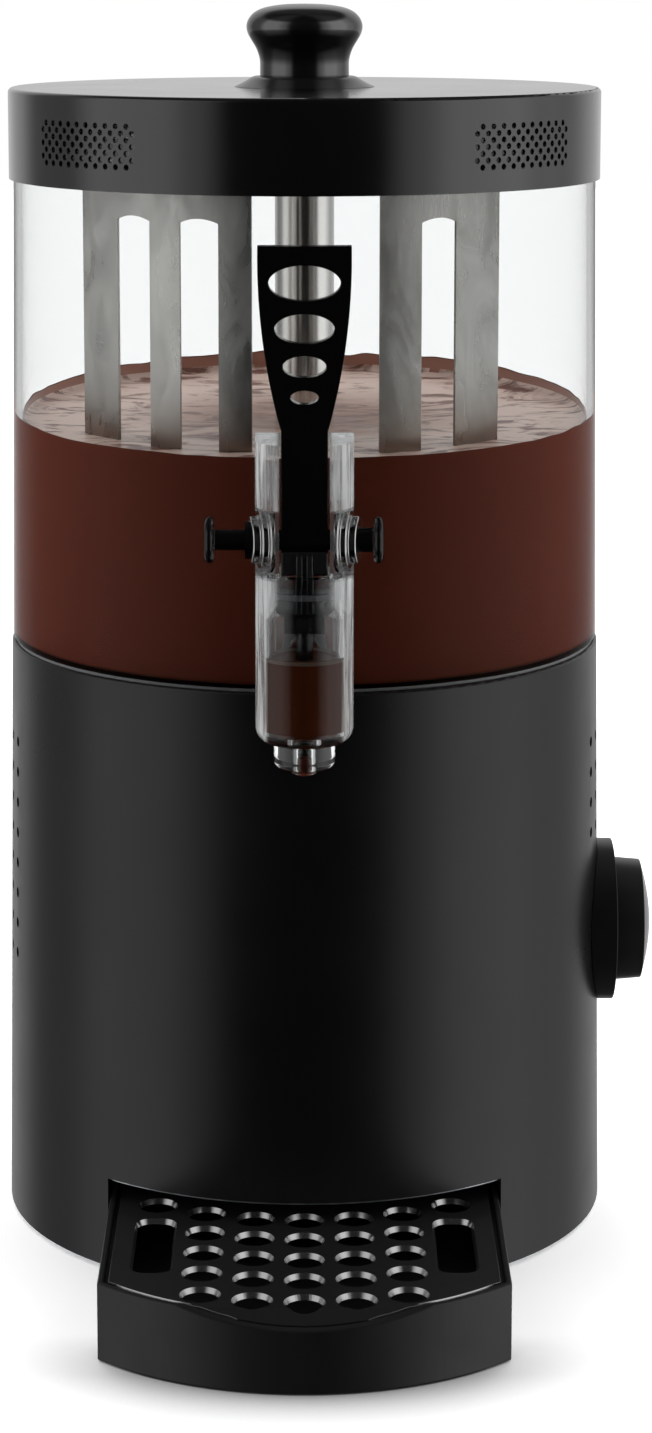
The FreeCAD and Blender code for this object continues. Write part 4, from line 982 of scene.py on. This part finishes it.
@dataclass
class Chocolate:
    """The drink in the bowl, with its stirred surface and the film that it leaves on the wall."""

    finishes: Finishes
    bowl: Bowl
    level_z: float = 309.5
    film: float = 7.0
    film_least: float = 0.12
    climb: float = 6.0
    bottom_gap: float = 1.0
    wet_overlap: float = 0.15
    tube_radius: float = 11.2
    wave: float = 0.9
    swirl_mm: Point = (34.0, 22.0)
    swirl_layer: float = 0.3
    # Smoothness, spacing and number of the swirl's octaves.
    swirl_octaves: tuple[float, float, int] = (0.9, 2.1, 5)
    calm_power: int = 8
    behind_power: float = 1.5
    # Waves of the film's edge round the wall, and the layer of noise that each is read from.
    edge_waves: tuple[Point, ...] = ((2.2, 4.0), (9.0, 7.0))
    edge_share: float = 0.25
    foot_edge: Point = (1.0, 1.2)
    wet_from: float = 2.0
    film_lip: Point = (0.5, 0.3)
    # How far inside the wall, and how high above the level, the film's inner side is on its way down.
    film_edge: tuple[Point, ...] = ((0.9, 2.2), (2.0, 0.8), (4.5, 0.0))
    surface_rings: int = 56
    top_depth: float = 3.0
    rim_inset: float = 0.6
    level_slope: float = 0.6

    def behind(self, turn: float) -> float:
        """Gives 1 at the back, where the paddles throw the drink up, and falls off to 0 at the front."""
        return (0.5 + 0.5 * math.sin(turn)) ** self.behind_power

    def surface_height(self, radius: float, turn: float, height: float) -> float:
        """Height of the stirred surface.

        Args:
            radius: distance from the machine's axis, in millimetres.
            turn: angle about the axis.
            height: the profile's own height.

        Returns:
            The height with waves, swirl and the film's uneven edge.
        """
        if height < self.level_z - 1:
            return height
        across, along = self.swirl_mm
        x, y = radius * math.cos(turn) / across, radius * math.sin(turn) / along
        swirl = noise.fractal(Vector((x, y, self.swirl_layer)), *self.swirl_octaves)
        calm = 1 - (radius / self.bowl.inner_radius(self.level_z)) ** self.calm_power
        broad, fine = (
            noise.noise(Vector((math.cos(turn) * waves, math.sin(turn) * waves, layer)))
            for waves, layer in self.edge_waves
        )
        rise = max(height - self.level_z, 0)
        share = self.film_least + (1 - self.film_least) * self.behind(turn)
        spread = share - 1 + self.edge_share * (broad + fine) * share
        climb = self.climb * self.behind(turn) * (radius / self.bowl.inner_radius(self.level_z)) ** 2
        return height + swirl * self.wave * calm + rise * spread + climb

    def skin(self, middle: Vector, normal: Vector) -> int:
        """Tells what lies on a face of the drink.

        Args:
            middle: the face's middle, in millimetres.
            normal: the face's normal.

        Returns:
            0 for the wetted wall, 1 for froth where the open top is level, and 2 for the film above it.
        """
        rim = self.bowl.inner_radius(self.level_z) + self.wet_overlap - self.rim_inset
        if middle.z <= self.level_z - self.top_depth or math.hypot(middle.x, middle.y) >= rim:
            return 0
        return 1 if abs(normal.z) > self.level_slope else 2

    def build(self) -> None:
        """Makes the drink as one closed form that wets the wall, with froth on its top and film above it."""
        floor_z = self.bowl.bottom_z + self.bottom_gap
        wall = self.bowl.inner_radius(self.level_z) + self.wet_overlap
        film_top = self.level_z + self.film
        film_wall = self.bowl.inner_radius(film_top) + self.wet_overlap
        foot_wall = self.bowl.inner_radius(floor_z)
        edge_width, edge_height = self.foot_edge
        lip_width, lip_height = self.film_lip
        profile: list[Point] = [(self.tube_radius, floor_z), (foot_wall - edge_width, floor_z)]
        profile += [(foot_wall + self.wet_overlap, floor_z + edge_height)]
        profile += [(wall, self.level_z - self.wet_from), (film_wall, film_top)]
        profile += [(film_wall - lip_width, film_top - lip_height)]
        profile += [(wall - inside, self.level_z + above) for inside, above in self.film_edge]
        edge = profile[-1][0]
        for ring in range(1, self.surface_rings + 1):
            share = ring / self.surface_rings
            profile.append((edge * (1 - share) + self.tube_radius * share, self.level_z))
        profile.append(profile[0])
        drink = lathe("hot_chocolate", profile, 288, self.surface_height, sharp_angle=80.0)
        finish_piece(drink, self.finishes.of(CHOCOLATE), Body.BOWL)
        dress_faces(drink, [self.finishes.of(FROTH), self.finishes.of(CHOCOLATE_FILM)], self.skin)


# ---- tap


@dataclass
class Tap:
    """Clear tap with its lever, ringed hubs, plunger and the drink that stands in it."""

    finishes: Finishes
    axis_y: float = -150.0
    pivot_z: float = 288.0
    chamber_radius: float = 12.35
    chamber_floor_z: float = 221.0
    drink_top_z: float = 248.2
    meniscus: float = 1.7
    meniscus_slope: float = 0.7
    # How far inside the wall, and how far below its top, the drink's curved edge is on its way to the middle.
    meniscus_curve: tuple[Point, ...] = ((0.0, 0.3), (0.3, 0.0), (1.0, 0.9), (2.4, 1.6))
    dip: float = 1.8
    wet_overlap: float = 0.15
    floor_overlap: float = 0.1
    foot_edge: float = 1.0
    hub_start: float = 11.4
    hub_end: float = 19.1
    hub_tilt: float = 11.0
    hub_bore: float = 3.7
    hub_radii: tuple[float, ...] = (11.6, 10.0, 8.4)
    ring_edge: float = 0.9
    groove_depth: float = 1.2
    groove: float = 0.6
    groove_edge: float = 0.2
    # Middle and half-width across, front and back, and foot and top of each bar of the plunger's guide.
    guide_bars: tuple[tuple[float, ...], ...] = (
        (0.0, 7.9, -160.4, -158.6, 277.8, 285.3),
        (-1.75, 1.1, -161.9, -158.8, 264.5, 284.3),
        (1.75, 1.1, -161.9, -158.8, 264.5, 284.3),
        (0.0, 6.6, -157.0, -143.0, 256.6, 262.6),
    )
    guide_edge: float = 0.4
    nozzle_bore: float = 2.6
    drop_radius: float = 3.6
    nozzle_drop_z: Point = (205.8, 212.0)
    # How far inside its widest part, and how far above its tip, the drop's curve runs.
    drop_curve: tuple[Point, ...] = ((1.6, 0.2), (0.4, 1.0), (0.0, 2.1))
    drop_neck: float = 2.2
    drop_dome: float = 0.6
    soft_nodes: tuple[SoftNode, ...] = (
        SoftNode("tap_housing", TAP_CLEAR, Body.BOWL, "clear_plastic", 0.9),
        SoftNode("tap_nozzle", NOZZLE_CLEAR, Body.BOWL, "clear_plastic", 0.5),
        SoftNode("tap_lever", GLOSS_PLASTIC, Body.LEVER, "tap_plastic", 1.3),
        SoftNode("plunger", PLUNGER_PLASTIC, Body.PLUNGER, "dark_grey_plastic", 0.35),
        SoftNode("pivot_pin", GLOSS_PLASTIC, Body.BOWL, "tap_plastic", 0.4),
        SoftNode("pivot_pin_cap", GLOSS_PLASTIC, Body.BOWL, "tap_plastic", 0.4),
    )

    def hub_profile(self) -> list[Point]:
        """Outlines one hub: rings that step down towards the outside, with a groove between them.

        Returns:
            The closed outline, as (radius, distance along the hub).
        """
        length = (self.hub_end - self.hub_start) / len(self.hub_radii)
        corners: list[Corner] = [(self.hub_bore, 0)]
        for index, radius in enumerate(self.hub_radii):
            start, end = index * length, (index + 1) * length
            last = index == len(self.hub_radii) - 1
            ring_end = end if last else end - self.groove
            corners += [(radius, start, self.ring_edge), (radius, ring_end, self.ring_edge)]
            if not last:
                bottom = radius - self.groove_depth
                corners += [(bottom, ring_end, self.groove_edge), (bottom, end, self.groove_edge)]
        corners.append((self.hub_bore, self.hub_end - self.hub_start))
        outline = filleted(corners)
        return [*outline, outline[0]]

    def add_hubs(self) -> None:
        """Adds the polished rings on both sides of the lever, each turned a little to the front."""
        hubs = []
        half_length = (self.hub_end - self.hub_start) / 2
        for side in (-1, 1):
            hub = lathe(f"hub_{side}", self.hub_profile(), segments=96, sharp_angle=50.0)
            stand(hub, 0, 0, -half_length)
            hub.data.transform(Matrix.Rotation(side * math.pi / 2, 4, "Y"))
            hub.data.transform(Matrix.Rotation(-side * math.radians(self.hub_tilt), 4, "Z"))
            hubs.append(stand(hub, side * (self.hub_start + half_length), self.axis_y, self.pivot_z))
        hub_pair = joined("pivot_hubs", hubs)
        finish_piece(hub_pair, self.finishes.of(CHROME), Body.BOWL, ["pivot_washers"])

    def add_guide(self) -> None:
        """Adds the plunger's guide: a ribbed tongue before the lever's foot, and a block under the cup."""
        parts = []
        for index, (middle, half, front, back, low, high) in enumerate(self.guide_bars):
            near, far = (middle - half, front, low), (middle + half, back, high)
            parts.append(bar(f"guide_{index}", near, far, self.guide_edge))
        guide = joined("plunger_guide", parts)
        finish_piece(guide, self.finishes.of(PLUNGER_PLASTIC), Body.PLUNGER)

    def on_meniscus(self, middle: Vector, normal: Vector) -> bool:
        """Tells whether a face with this middle, in millimetres, and normal is on the drink's curved edge."""
        return middle.z > self.drink_top_z - self.meniscus and abs(normal.z) < self.meniscus_slope

    def add_drink(self) -> None:
        """Fills the chamber up to a curved edge."""
        radius = self.chamber_radius + self.wet_overlap
        floor, top = self.chamber_floor_z - self.floor_overlap, self.drink_top_z
        profile: list[Point] = [(0, floor), (radius - self.foot_edge, floor)]
        profile += [(radius, floor + self.foot_edge), (radius, top - self.meniscus)]
        profile += [(radius - inside, top - below) for inside, below in self.meniscus_curve]
        profile.append((0, top - self.dip))
        drink = stand(lathe("tap_chocolate", profile, segments=96), 0, self.axis_y, 0)
        # The drink in the tap takes a darker copy of the drink's colour: painted shade.
        finish_piece(drink, self.finishes.of(SHADED_TAP_CHOCOLATE), Body.BOWL)
        dress_faces(drink, [self.finishes.of(MENISCUS)], self.on_meniscus)

    def add_drop(self) -> None:
        """Hangs the drop that is left in the nozzle."""
        low, high = self.nozzle_drop_z
        profile: list[Point] = [(0, low)]
        profile += [(self.drop_radius - inside, low + above) for inside, above in self.drop_curve]
        profile += [(self.nozzle_bore, low + self.drop_neck), (self.nozzle_bore, high)]
        profile.append((0, high + self.drop_dome))
        drop = stand(lathe("nozzle_chocolate", profile, segments=48), 0, self.axis_y, 0)
        finish_piece(drop, self.finishes.of(CHOCOLATE), Body.BOWL)

    def build(self) -> None:
        """Makes the tap."""
        for soft_node in self.soft_nodes:
            soft_node.build(self.finishes)
        self.add_hubs()
        self.add_guide()
        self.add_drink()
        self.add_drop()


# ---- lid knob


@dataclass
class LidKnob:
    """Turned knob with a full rounded head, on a softened conical foot."""

    finishes: Finishes
    bottom_z: float = 441.0
    screw_radius: float = 2.5
    screw_depth: float = 12.0
    outline: tuple[Point, ...] = (
        (16.7, 441.0), (16.9, 441.3), (16.9, 446.0), (17.3, 448.6), (18.4, 451.6), (20.2, 454.6),
        (21.5, 457.0), (22.0, 459.3), (21.7, 461.4), (20.6, 463.4), (18.8, 465.1), (16.2, 466.4),
        (12.6, 467.3), (7.0, 468.0),
    )
    curve_steps: int = 5
    innermost: float = 0.01
    top_z: float = 468.2
    foot_edge: float = 0.3
    seal_radii: Point = (97.0, 109.6)
    seal_z: Point = (409.8, 412.4)
    seal_edge: float = 0.5

    def smooth_outline(self) -> list[Point]:
        """Adds points on a curve through the outline's own.

        Returns:
            The outline from the knob's foot to the middle of its top.
        """
        points = [*self.outline, (0.0, self.top_z)]
        curve: list[Point] = []
        for index in range(len(points) - 1):
            before, start = Vector(points[max(index - 1, 0)]), Vector(points[index])
            end, after = Vector(points[index + 1]), Vector(points[min(index + 2, len(points) - 1)])
            for step in range(self.curve_steps):
                t = step / self.curve_steps
                bend = 2 * start + (end - before) * t + (2 * before - 5 * start + 4 * end - after) * t**2
                bend += (3 * start - before - 3 * end + after) * t**3
                curve.append((max(bend.x / 2, self.innermost), min(bend.y / 2, self.top_z)))
        return [*curve, (0.0, self.top_z)]

    def add_seal(self) -> None:
        """Adds the soft ring inside the lid that keeps the steam in."""
        inner, outer = self.seal_radii
        low, high = self.seal_z
        corners = ((inner, low), (outer, low), (outer, high), (inner, high))
        outline = filleted([(*corner, self.seal_edge) for corner in corners])
        seal = lathe("lid_seal", [*outline, outline[0]])
        finish_piece(seal, self.finishes.of(BLACK_RUBBER), Body.LID)

    def build(self) -> None:
        """Makes the knob, its foot and the seal."""
        hole_top = self.bottom_z + self.screw_depth
        profile = [(0.0, hole_top), (self.screw_radius, hole_top), (self.screw_radius, self.bottom_z)]
        knob = lathe("knob", [*profile, *self.smooth_outline()], segments=128, sharp_angle=60.0)
        finish_piece(knob, self.finishes.of(KNOB_RESIN), Body.LID, ["lid_knob"])
        foot = SoftNode("knob_foot", FOOT_PLASTIC, Body.LID, "dark_grey_plastic", self.foot_edge)
        foot.build(self.finishes)
        self.add_seal()


# ---- drip tray


@dataclass
class DripTray:
    """Moulded tray and grille, with the rounded edges and polished hole walls that catch the light."""

    finishes: Finishes
    # Half the width, the back and the front of the field of holes and slots.
    holes: Place = (66.5, 64.0, 197.5)
    grille_bottom_z: float = 26.2
    bottom_reach: float = 0.1
    grille_top_z: float = 28.2
    tray_edge: float = 0.5
    grille_edge: float = 0.4
    mouth: float = 0.55
    draft: float = 0.35
    # Upward parts of the normals of an upright wall, of a hole's rounding, and of the plate's outer rounding.
    upright: float = 0.1
    hole_slope: float = 0.8
    edge_slopes: Point = (0.15, 0.98)

    def among_holes(self, place: Vector) -> bool:
        """Tells whether a place on the grille, in millimetres, is among its holes and slots."""
        half_width, back, front = self.holes
        return abs(place.x) < half_width and back < -place.y < front

    def draft_holes(self, build: bmesh.types.BMesh) -> None:
        """Flares the holes and slots from their bottom to their mouth, so that the grille leaves its mould.

        Args:
            build: the grille under construction, in millimetres.
        """
        moves: dict[bmesh.types.BMVert, Vector] = {}
        for face in build.faces:
            if abs(face.normal.z) > self.upright or not self.among_holes(face.calc_center_median()):
                continue
            for vert in face.verts:
                moves[vert] = moves.get(vert, Vector()) + face.normal
        for vert, move in moves.items():
            move.z = 0
            low = vert.co.z < self.grille_bottom_z + self.bottom_reach
            vert.co += move.normalized() * (self.draft if low else -self.mouth)

    def is_polished(self, middle: Vector, normal: Vector) -> bool:
        """Tells whether a face of the grille is a hole's wall or rounding, or the plate's outer rounding.

        Args:
            middle: the face's middle, in millimetres.
            normal: the face's normal.

        Returns:
            Whether the mould is polished there.
        """
        if self.among_holes(middle):
            return abs(normal.z) < self.hole_slope
        low, high = self.edge_slopes
        return middle.z > self.grille_top_z - self.grille_edge and low < normal.z < high

    def build(self) -> None:
        """Makes the tray and its grille."""
        SoftNode("drip_tray", TRAY_PLASTIC, Body.TRAY, "black_plastic", self.tray_edge).build(self.finishes)
        grille = softened("drip_grille", self.grille_edge, self.draft_holes)
        finish_piece(grille, self.finishes.of(TRAY_PLASTIC), Body.GRILLE, ["drip_grille"])
        dress_faces(grille, [self.finishes.of(HOLE_WALL)], self.is_polished)


# ---- control dial


@dataclass
class Control:
    """Dial with a domed face and a pointer, on a bezel with a heat scale."""

    finishes: Finishes
    axis_z: float = 110.5
    face_x: float = 121.2
    gap: float = 0.3
    base_radius: float = 24.2
    end_radius: float = 23.3
    length: float = 11.2
    dome: float = 3.7
    dome_inset: float = 0.8
    rim_overlap: float = 0.002
    dome_steps: int = 14
    socket_radius: float = 3.0
    socket_depth: float = 6.0
    pointer_from: float = 11.0
    pointer_to: float = 21.5
    pointer_width: float = 1.8
    pointer_depth: float = 0.4
    pointer_steps: int = 8
    proud: float = 0.03
    bezel_edge: float = 0.6
    scale_radius: float = 27.9
    scale_marks: tuple[str, ...] = ("0", "30", "40", "50", "60", "70", "80", "90")
    scale_sweep: float = 270.0
    mark_size: float = 4.2

    def dome_height(self, radius: float) -> float:
        """Height of the domed face above the bezel at a radius."""
        return self.length + self.dome * (1 - (radius / (self.end_radius - self.dome_inset)) ** 2)

    def on_dome(self, middle: Vector, normal: Vector) -> bool:
        """Tells whether a face with this middle, in millimetres, is on the domed face."""
        return middle.x > self.face_x + self.length - self.rim_overlap

    def add_dial(self) -> None:
        """Adds the dial."""
        profile: list[Point] = [(0.0, self.socket_depth), (self.socket_radius, self.socket_depth)]
        dome_radius = self.end_radius - self.dome_inset
        corners = [(self.socket_radius, self.gap), (self.base_radius, self.gap, 0.4)]
        corners += [(self.end_radius, self.length, 0.5), (dome_radius, self.length)]
        profile += filleted(corners, closed=False)
        for step in range(1, self.dome_steps + 1):
            radius = dome_radius * (1 - step / self.dome_steps)
            profile.append((radius, self.dome_height(radius)))
        dial = lathe("dial_knob", profile, sharp_angle=40.0)
        stand(dial, self.face_x, 0, self.axis_z, Along.X)
        finish_piece(dial, self.finishes.of(DIAL_PLASTIC), Body.DIAL, ["control_dial"])
        dress_faces(dial, [self.finishes.of(DIAL_FACE)], self.on_dome)

    def add_pointer(self) -> None:
        """Adds the white line that is filled into the dial's face."""
        build = bmesh.new()
        rows = []
        half = self.pointer_width / 2
        for step in range(self.pointer_steps + 1):
            radius = self.pointer_from + (self.pointer_to - self.pointer_from) * step / self.pointer_steps
            height = self.face_x + self.dome_height(radius) + self.proud
            foot = height - self.pointer_depth
            corners = ((height, -half), (height, half), (foot, half), (foot, -half))
            rows.append([build.verts.new((x, y, self.axis_z + radius)) for x, y in corners])
        for low, high in zip(rows, rows[1:]):
            for side in range(4):
                following = (side + 1) % 4
                build.faces.new((low[side], low[following], high[following], high[side]))
        build.faces.new(rows[0])
        build.faces.new(rows[-1][::-1])
        finish_piece(mesh_piece("dial_pointer", build), self.finishes.of(WHITE_ACETAL), Body.DIAL)

    def mark(self, text: str, turn: float) -> Piece:
        """Prints one number of the heat scale.

        Args:
            text: the number.
            turn: its angle from the top, in radians.

        Returns:
            The number, which stands on the bezel's face.
        """
        name = f"mark_{text}"
        curve = bpy.data.curves.new(name, "FONT")
        curve.body = text
        curve.size = self.mark_size * MM
        curve.align_x = curve.align_y = "CENTER"
        curve.extrude = self.proud * MM
        source = linked(name, curve)
        mesh = evaluated(source)
        bpy.data.objects.remove(source)
        upright = Matrix(((0, 0, 1, 0), (1, 0, 0, 0), (0, 1, 0, 0), (0, 0, 0, 1)))
        across, up = math.sin(turn) * self.scale_radius, math.cos(turn) * self.scale_radius
        place = Vector((self.face_x, across, self.axis_z + up)) * MM
        mesh.transform(Matrix.Translation(place) @ Matrix.Rotation(-turn, 4, "X") @ upright)
        return linked(name, mesh)

    def add_scale(self) -> None:
        """Prints the heat scale round the bezel's face."""
        step = self.scale_sweep / (len(self.scale_marks) - 1)
        marks = [self.mark(text, math.radians(index * step)) for index, text in enumerate(self.scale_marks)]
        finish_piece(joined("heat_scale", marks), self.finishes.of(PRINT_INK), Body.BASE)

    def build(self) -> None:
        """Makes the dial, its pointer, the bezel and its scale."""
        self.add_dial()
        self.add_pointer()
        bezel = SoftNode("dial_bezel", DIAL_PLASTIC, Body.BASE, "dial_plastic", self.bezel_edge)
        bezel.build(self.finishes)
        self.add_scale()


# ---- feet


@dataclass
class Feet:
    """Rubber feet with moulded edges."""

    finishes: Finishes
    edge: float = 0.8

    def build(self) -> None:
        """Makes the feet."""
        SoftNode("rubber_feet", BLACK_RUBBER, Body.BASE, "black_rubber", self.edge).build(self.finishes)


# ---- studio


class Side(Enum):
    """Side of the studio that a softbox stands on."""

    LEFT = "left"
    RIGHT = "right"


# What a glossy surface meets, from the dark front of the room (0 degrees) round each side to its white back
# (180): a tall softbox on each side with a gap of shade behind it. Each stop is (degrees, brightness).
GLOSS_ROOM: dict[Side, tuple[Point, ...]] = {
    Side.LEFT: (
        (0, 0.005), (27, 0.01), (42, 0.45), (56, 0.78), (84, 0.78), (103, 0.24), (124, 0.2), (142, 0.5),
        (165, 0.62),
    ),
    Side.RIGHT: (
        (0, 0.005), (27, 0.01), (44, 0.5), (60, 0.98), (86, 0.98), (104, 0.6), (122, 0.4), (144, 0.55),
        (165, 0.62),
    ),
}
# How far above and below the horizon that reaches, as (degrees, share of brightness).
GLOSS_HEIGHT: tuple[Point, ...] = ((0, 1.0), (33, 1.0), (46, 0.12), (90, 0.08))
# What lights the colours: the same room, softer.
COLOUR_ROOM: tuple[Point, ...] = ((0, 0.06), (40, 0.08), (68, 0.6), (96, 2.6), (135, 2.0), (180, 1.2))


@dataclass(frozen=True)
class Softbox:
    """A lamp: its name, its place and size in millimetres, and its brightness."""

    name: str
    place: Place
    size: Point
    radiance: float


@dataclass
class Studio:
    """Pale floor, soft lamps, a pale surround and the camera."""

    camera_y: float = -1291.8
    camera_z: float = 484.2
    pitch: float = 9.37
    lens_mm: float = 84.77
    sensor_mm: float = 36.0
    shift: Point = (0.015, -0.1389)
    lamps_aim: Place = (0.0, 0.0, 230.0)
    floor_size: float = 12000.0
    floor_glow: float = 0.22
    floor_paint: float = 0.94
    shade_from_y: Point = (-150.0, -185.0)
    shade_reach: float = 60.0
    shade_power: float = 1.3
    shade_samples: int = 16
    lamps: tuple[Softbox, ...] = (
        Softbox("left_softbox", (-1350.0, -60.0, 700.0), (900.0, 1500.0), 0.9),
        Softbox("right_softbox", (1300.0, -60.0, 700.0), (1000.0, 1500.0), 0.7),
        Softbox("top_softbox", (0.0, 1100.0, 1300.0), (1800.0, 1400.0), 1.6),
    )

    def add_camera(self) -> None:
        """Places the camera in front of the machine, a little above it and tilted down."""
        data = bpy.data.cameras.new("camera")
        data.lens = self.lens_mm
        data.sensor_width = self.sensor_mm
        data.shift_x, data.shift_y = self.shift
        camera = linked("camera", data)
        camera.location = Vector((0, self.camera_y, self.camera_z)) * MM
        camera.rotation_euler = (math.radians(90 - self.pitch), 0, 0)
        bpy.context.scene.camera = camera

    def add_lamps(self) -> None:
        """Hangs the softboxes, turned to the middle of the machine; the surround stands for them in gloss."""
        for box in self.lamps:
            data = bpy.data.lights.new(box.name, "AREA")
            data.shape = "RECTANGLE"
            data.size, data.size_y = (side * MM for side in box.size)
            data.energy = box.radiance * math.pi * data.size * data.size_y
            lamp = linked(box.name, data)
            lamp.location = Vector(box.place) * MM
            aim = Vector(self.lamps_aim) * MM - lamp.location
            lamp.rotation_euler = aim.to_track_quat("-Z", "Y").to_euler()
            lamp.visible_glossy = False
            lamp.visible_transmission = False

    def around_room(self, tree: NodeTree, turn: Node, levels: Sequence[Point]) -> Node:
        """Adds brightness by direction, from the front of the room to its back, or from the horizon up.

        Args:
            tree: the surround's nodes.
            turn: runs from 0 at the front or the horizon to 1 half a turn away.
            levels: (degrees, brightness) pairs.

        Returns:
            The node that gives the brightness.
        """
        node = add_node(tree, "ValToRGB", {"Fac": turn})
        ramp = node.color_ramp
        ramp.interpolation = "EASE"
        while len(ramp.elements) < len(levels):
            ramp.elements.new(1.0)
        for stop, (degrees, level) in zip(ramp.elements, levels):
            stop.position = degrees / 180
            stop.color = (level, level, level, 1.0)
        return node

    def after(self, tree: NodeTree, bounce: str) -> Node:
        """Tells which rays have left a surface before they come here.

        Args:
            tree: the node tree that asks.
            bounce: how they left it, "Diffuse" or "Glossy".

        Returns:
            The node that gives 1 for such rays, or else 0.
        """
        depth = add_node(tree, "LightPath").outputs[f"{bounce} Depth"]
        return add_node(tree, "Math", {"operation": "GREATER_THAN", 0: depth, 1: 0.5})

    def add_surround(self) -> None:
        """Makes the surround: white where it is seen, softboxes in gloss, and soft light for the colours."""
        world = bpy.data.worlds.new("surround")
        bpy.context.scene.world = world
        world.use_nodes = True
        tree = world.node_tree
        tree.nodes.clear()
        towards = add_node(tree, "TexCoord").outputs["Generated"]
        x, y, z = add_node(tree, "SeparateXYZ", {"Vector": towards}).outputs
        across = add_node(tree, "Math", {"operation": "ABSOLUTE", 0: x})
        ahead = add_node(tree, "Math", {"operation": "MULTIPLY", 0: y, 1: -1.0})
        angle = add_node(tree, "Math", {"operation": "ARCTAN2", 0: across, 1: ahead})
        turn = add_node(tree, "Math", {"operation": "DIVIDE", 0: angle, 1: math.pi})
        right = add_node(tree, "Math", {"operation": "GREATER_THAN", 0: x, 1: 0.0})
        sides = {6: self.around_room(tree, turn, GLOSS_ROOM[Side.LEFT])}
        sides[7] = self.around_room(tree, turn, GLOSS_ROOM[Side.RIGHT])
        room = add_node(tree, "Mix", {"data_type": "RGBA", 0: right, **sides})
        level = add_node(tree, "Math", {"operation": "ARCSINE", 0: z})
        steep = add_node(tree, "Math", {"operation": "ABSOLUTE", 0: level})
        rise = add_node(tree, "Math", {"operation": "DIVIDE", 0: steep, 1: math.pi})
        height = self.around_room(tree, rise, GLOSS_HEIGHT)
        product = {"data_type": "RGBA", "blend_type": "MULTIPLY", 0: 1.0}
        gloss = add_node(tree, "Mix", {**product, 6: room, 7: height})
        shiny = add_node(tree, "Background", {"Color": gloss})
        soft = add_node(tree, "Background", {"Color": self.around_room(tree, turn, COLOUR_ROOM)})
        white = add_node(tree, "Background", {"Color": "#ffffff"})
        seen = add_node(tree, "MixShader", {0: self.after(tree, "Glossy"), 1: white, 2: shiny})
        mixed = add_node(tree, "MixShader", {0: self.after(tree, "Diffuse"), 1: seen, 2: soft})
        add_node(tree, "OutputWorld", {"Surface": mixed})

    def floor_material(self) -> Material:
        """Paints the floor: it glows a little where it is seen, keeps its shadow, and is left out of bounces.

        Returns:
            The floor's material.
        """
        material = bpy.data.materials.new("studio_floor")
        material.use_nodes = True
        tree = material.node_tree
        tree.nodes.clear()
        ground = add_node(tree, "TexCoord").outputs["Object"]
        y = add_node(tree, "SeparateXYZ", {"Vector": ground}).outputs["Y"]
        before_tray = add_node(tree, "MapRange", {"Value": y, **between(self.shade_from_y)})
        reach = {"samples": self.shade_samples, "Distance": self.shade_reach * MM}
        near = add_node(tree, "AmbientOcclusion", reach).outputs["AO"]
        contact = add_node(tree, "Math", {"operation": "POWER", 0: near, 1: self.shade_power})
        shade = add_node(tree, "Mix", {"data_type": "FLOAT", 0: before_tray, 2: 1.0, 3: contact})
        grey = add_node(tree, "Math", {"operation": "MULTIPLY", 0: shade, 1: self.floor_paint})
        paint = add_node(tree, "BsdfDiffuse", {"Color": grey})
        camera_ray = add_node(tree, "LightPath").outputs["Is Camera Ray"]
        lit = add_node(tree, "Math", {"operation": "MULTIPLY", 0: camera_ray, 1: self.floor_glow})
        strength = add_node(tree, "Math", {"operation": "MULTIPLY", 0: lit, 1: shade})
        glow = add_node(tree, "Emission", {"Color": "#ffffff", "Strength": strength})
        both = add_node(tree, "AddShader", {0: paint, 1: glow})
        bounces = {0: self.after(tree, "Glossy"), 1: self.after(tree, "Diffuse")}
        left_out = add_node(tree, "Math", {"operation": "MAXIMUM", **bounces})
        clear = add_node(tree, "BsdfTransparent")
        mixed = add_node(tree, "MixShader", {0: left_out, 1: both, 2: clear})
        add_node(tree, "OutputMaterial", {"Surface": mixed})
        return material

    def add_floor(self) -> None:
        """Lays the pale floor."""
        half = self.floor_size / 2 * MM
        corners = [(-half, -half, 0), (half, -half, 0), (half, half, 0), (-half, half, 0)]
        mesh = bpy.data.meshes.new("floor")
        mesh.from_pydata(corners, [], [(0, 1, 2, 3)])
        mesh.materials.append(self.floor_material())
        linked("floor", mesh)

    def build(self) -> None:
        """Sets up the whole studio."""
        bpy.context.scene.view_settings.view_transform = "Standard"
        self.add_camera()
        self.add_lamps()
        self.add_surround()
        self.add_floor()


def main() -> None:
    """Builds the studio, dresses the frame's nodes and makes each piece."""
    logging.basicConfig(level=logging.INFO, format="%(name)s %(message)s")
    Studio().build()
    finishes = Finishes()
    finishes.dress_nodes()
    bowl = Bowl(finishes)
    bowl.build()
    Chocolate(finishes, bowl).build()
    for part in (Tap, LidKnob, DripTray, Control, Feet):
        part(finishes).build()


if __name__ == "__main__":
    main()
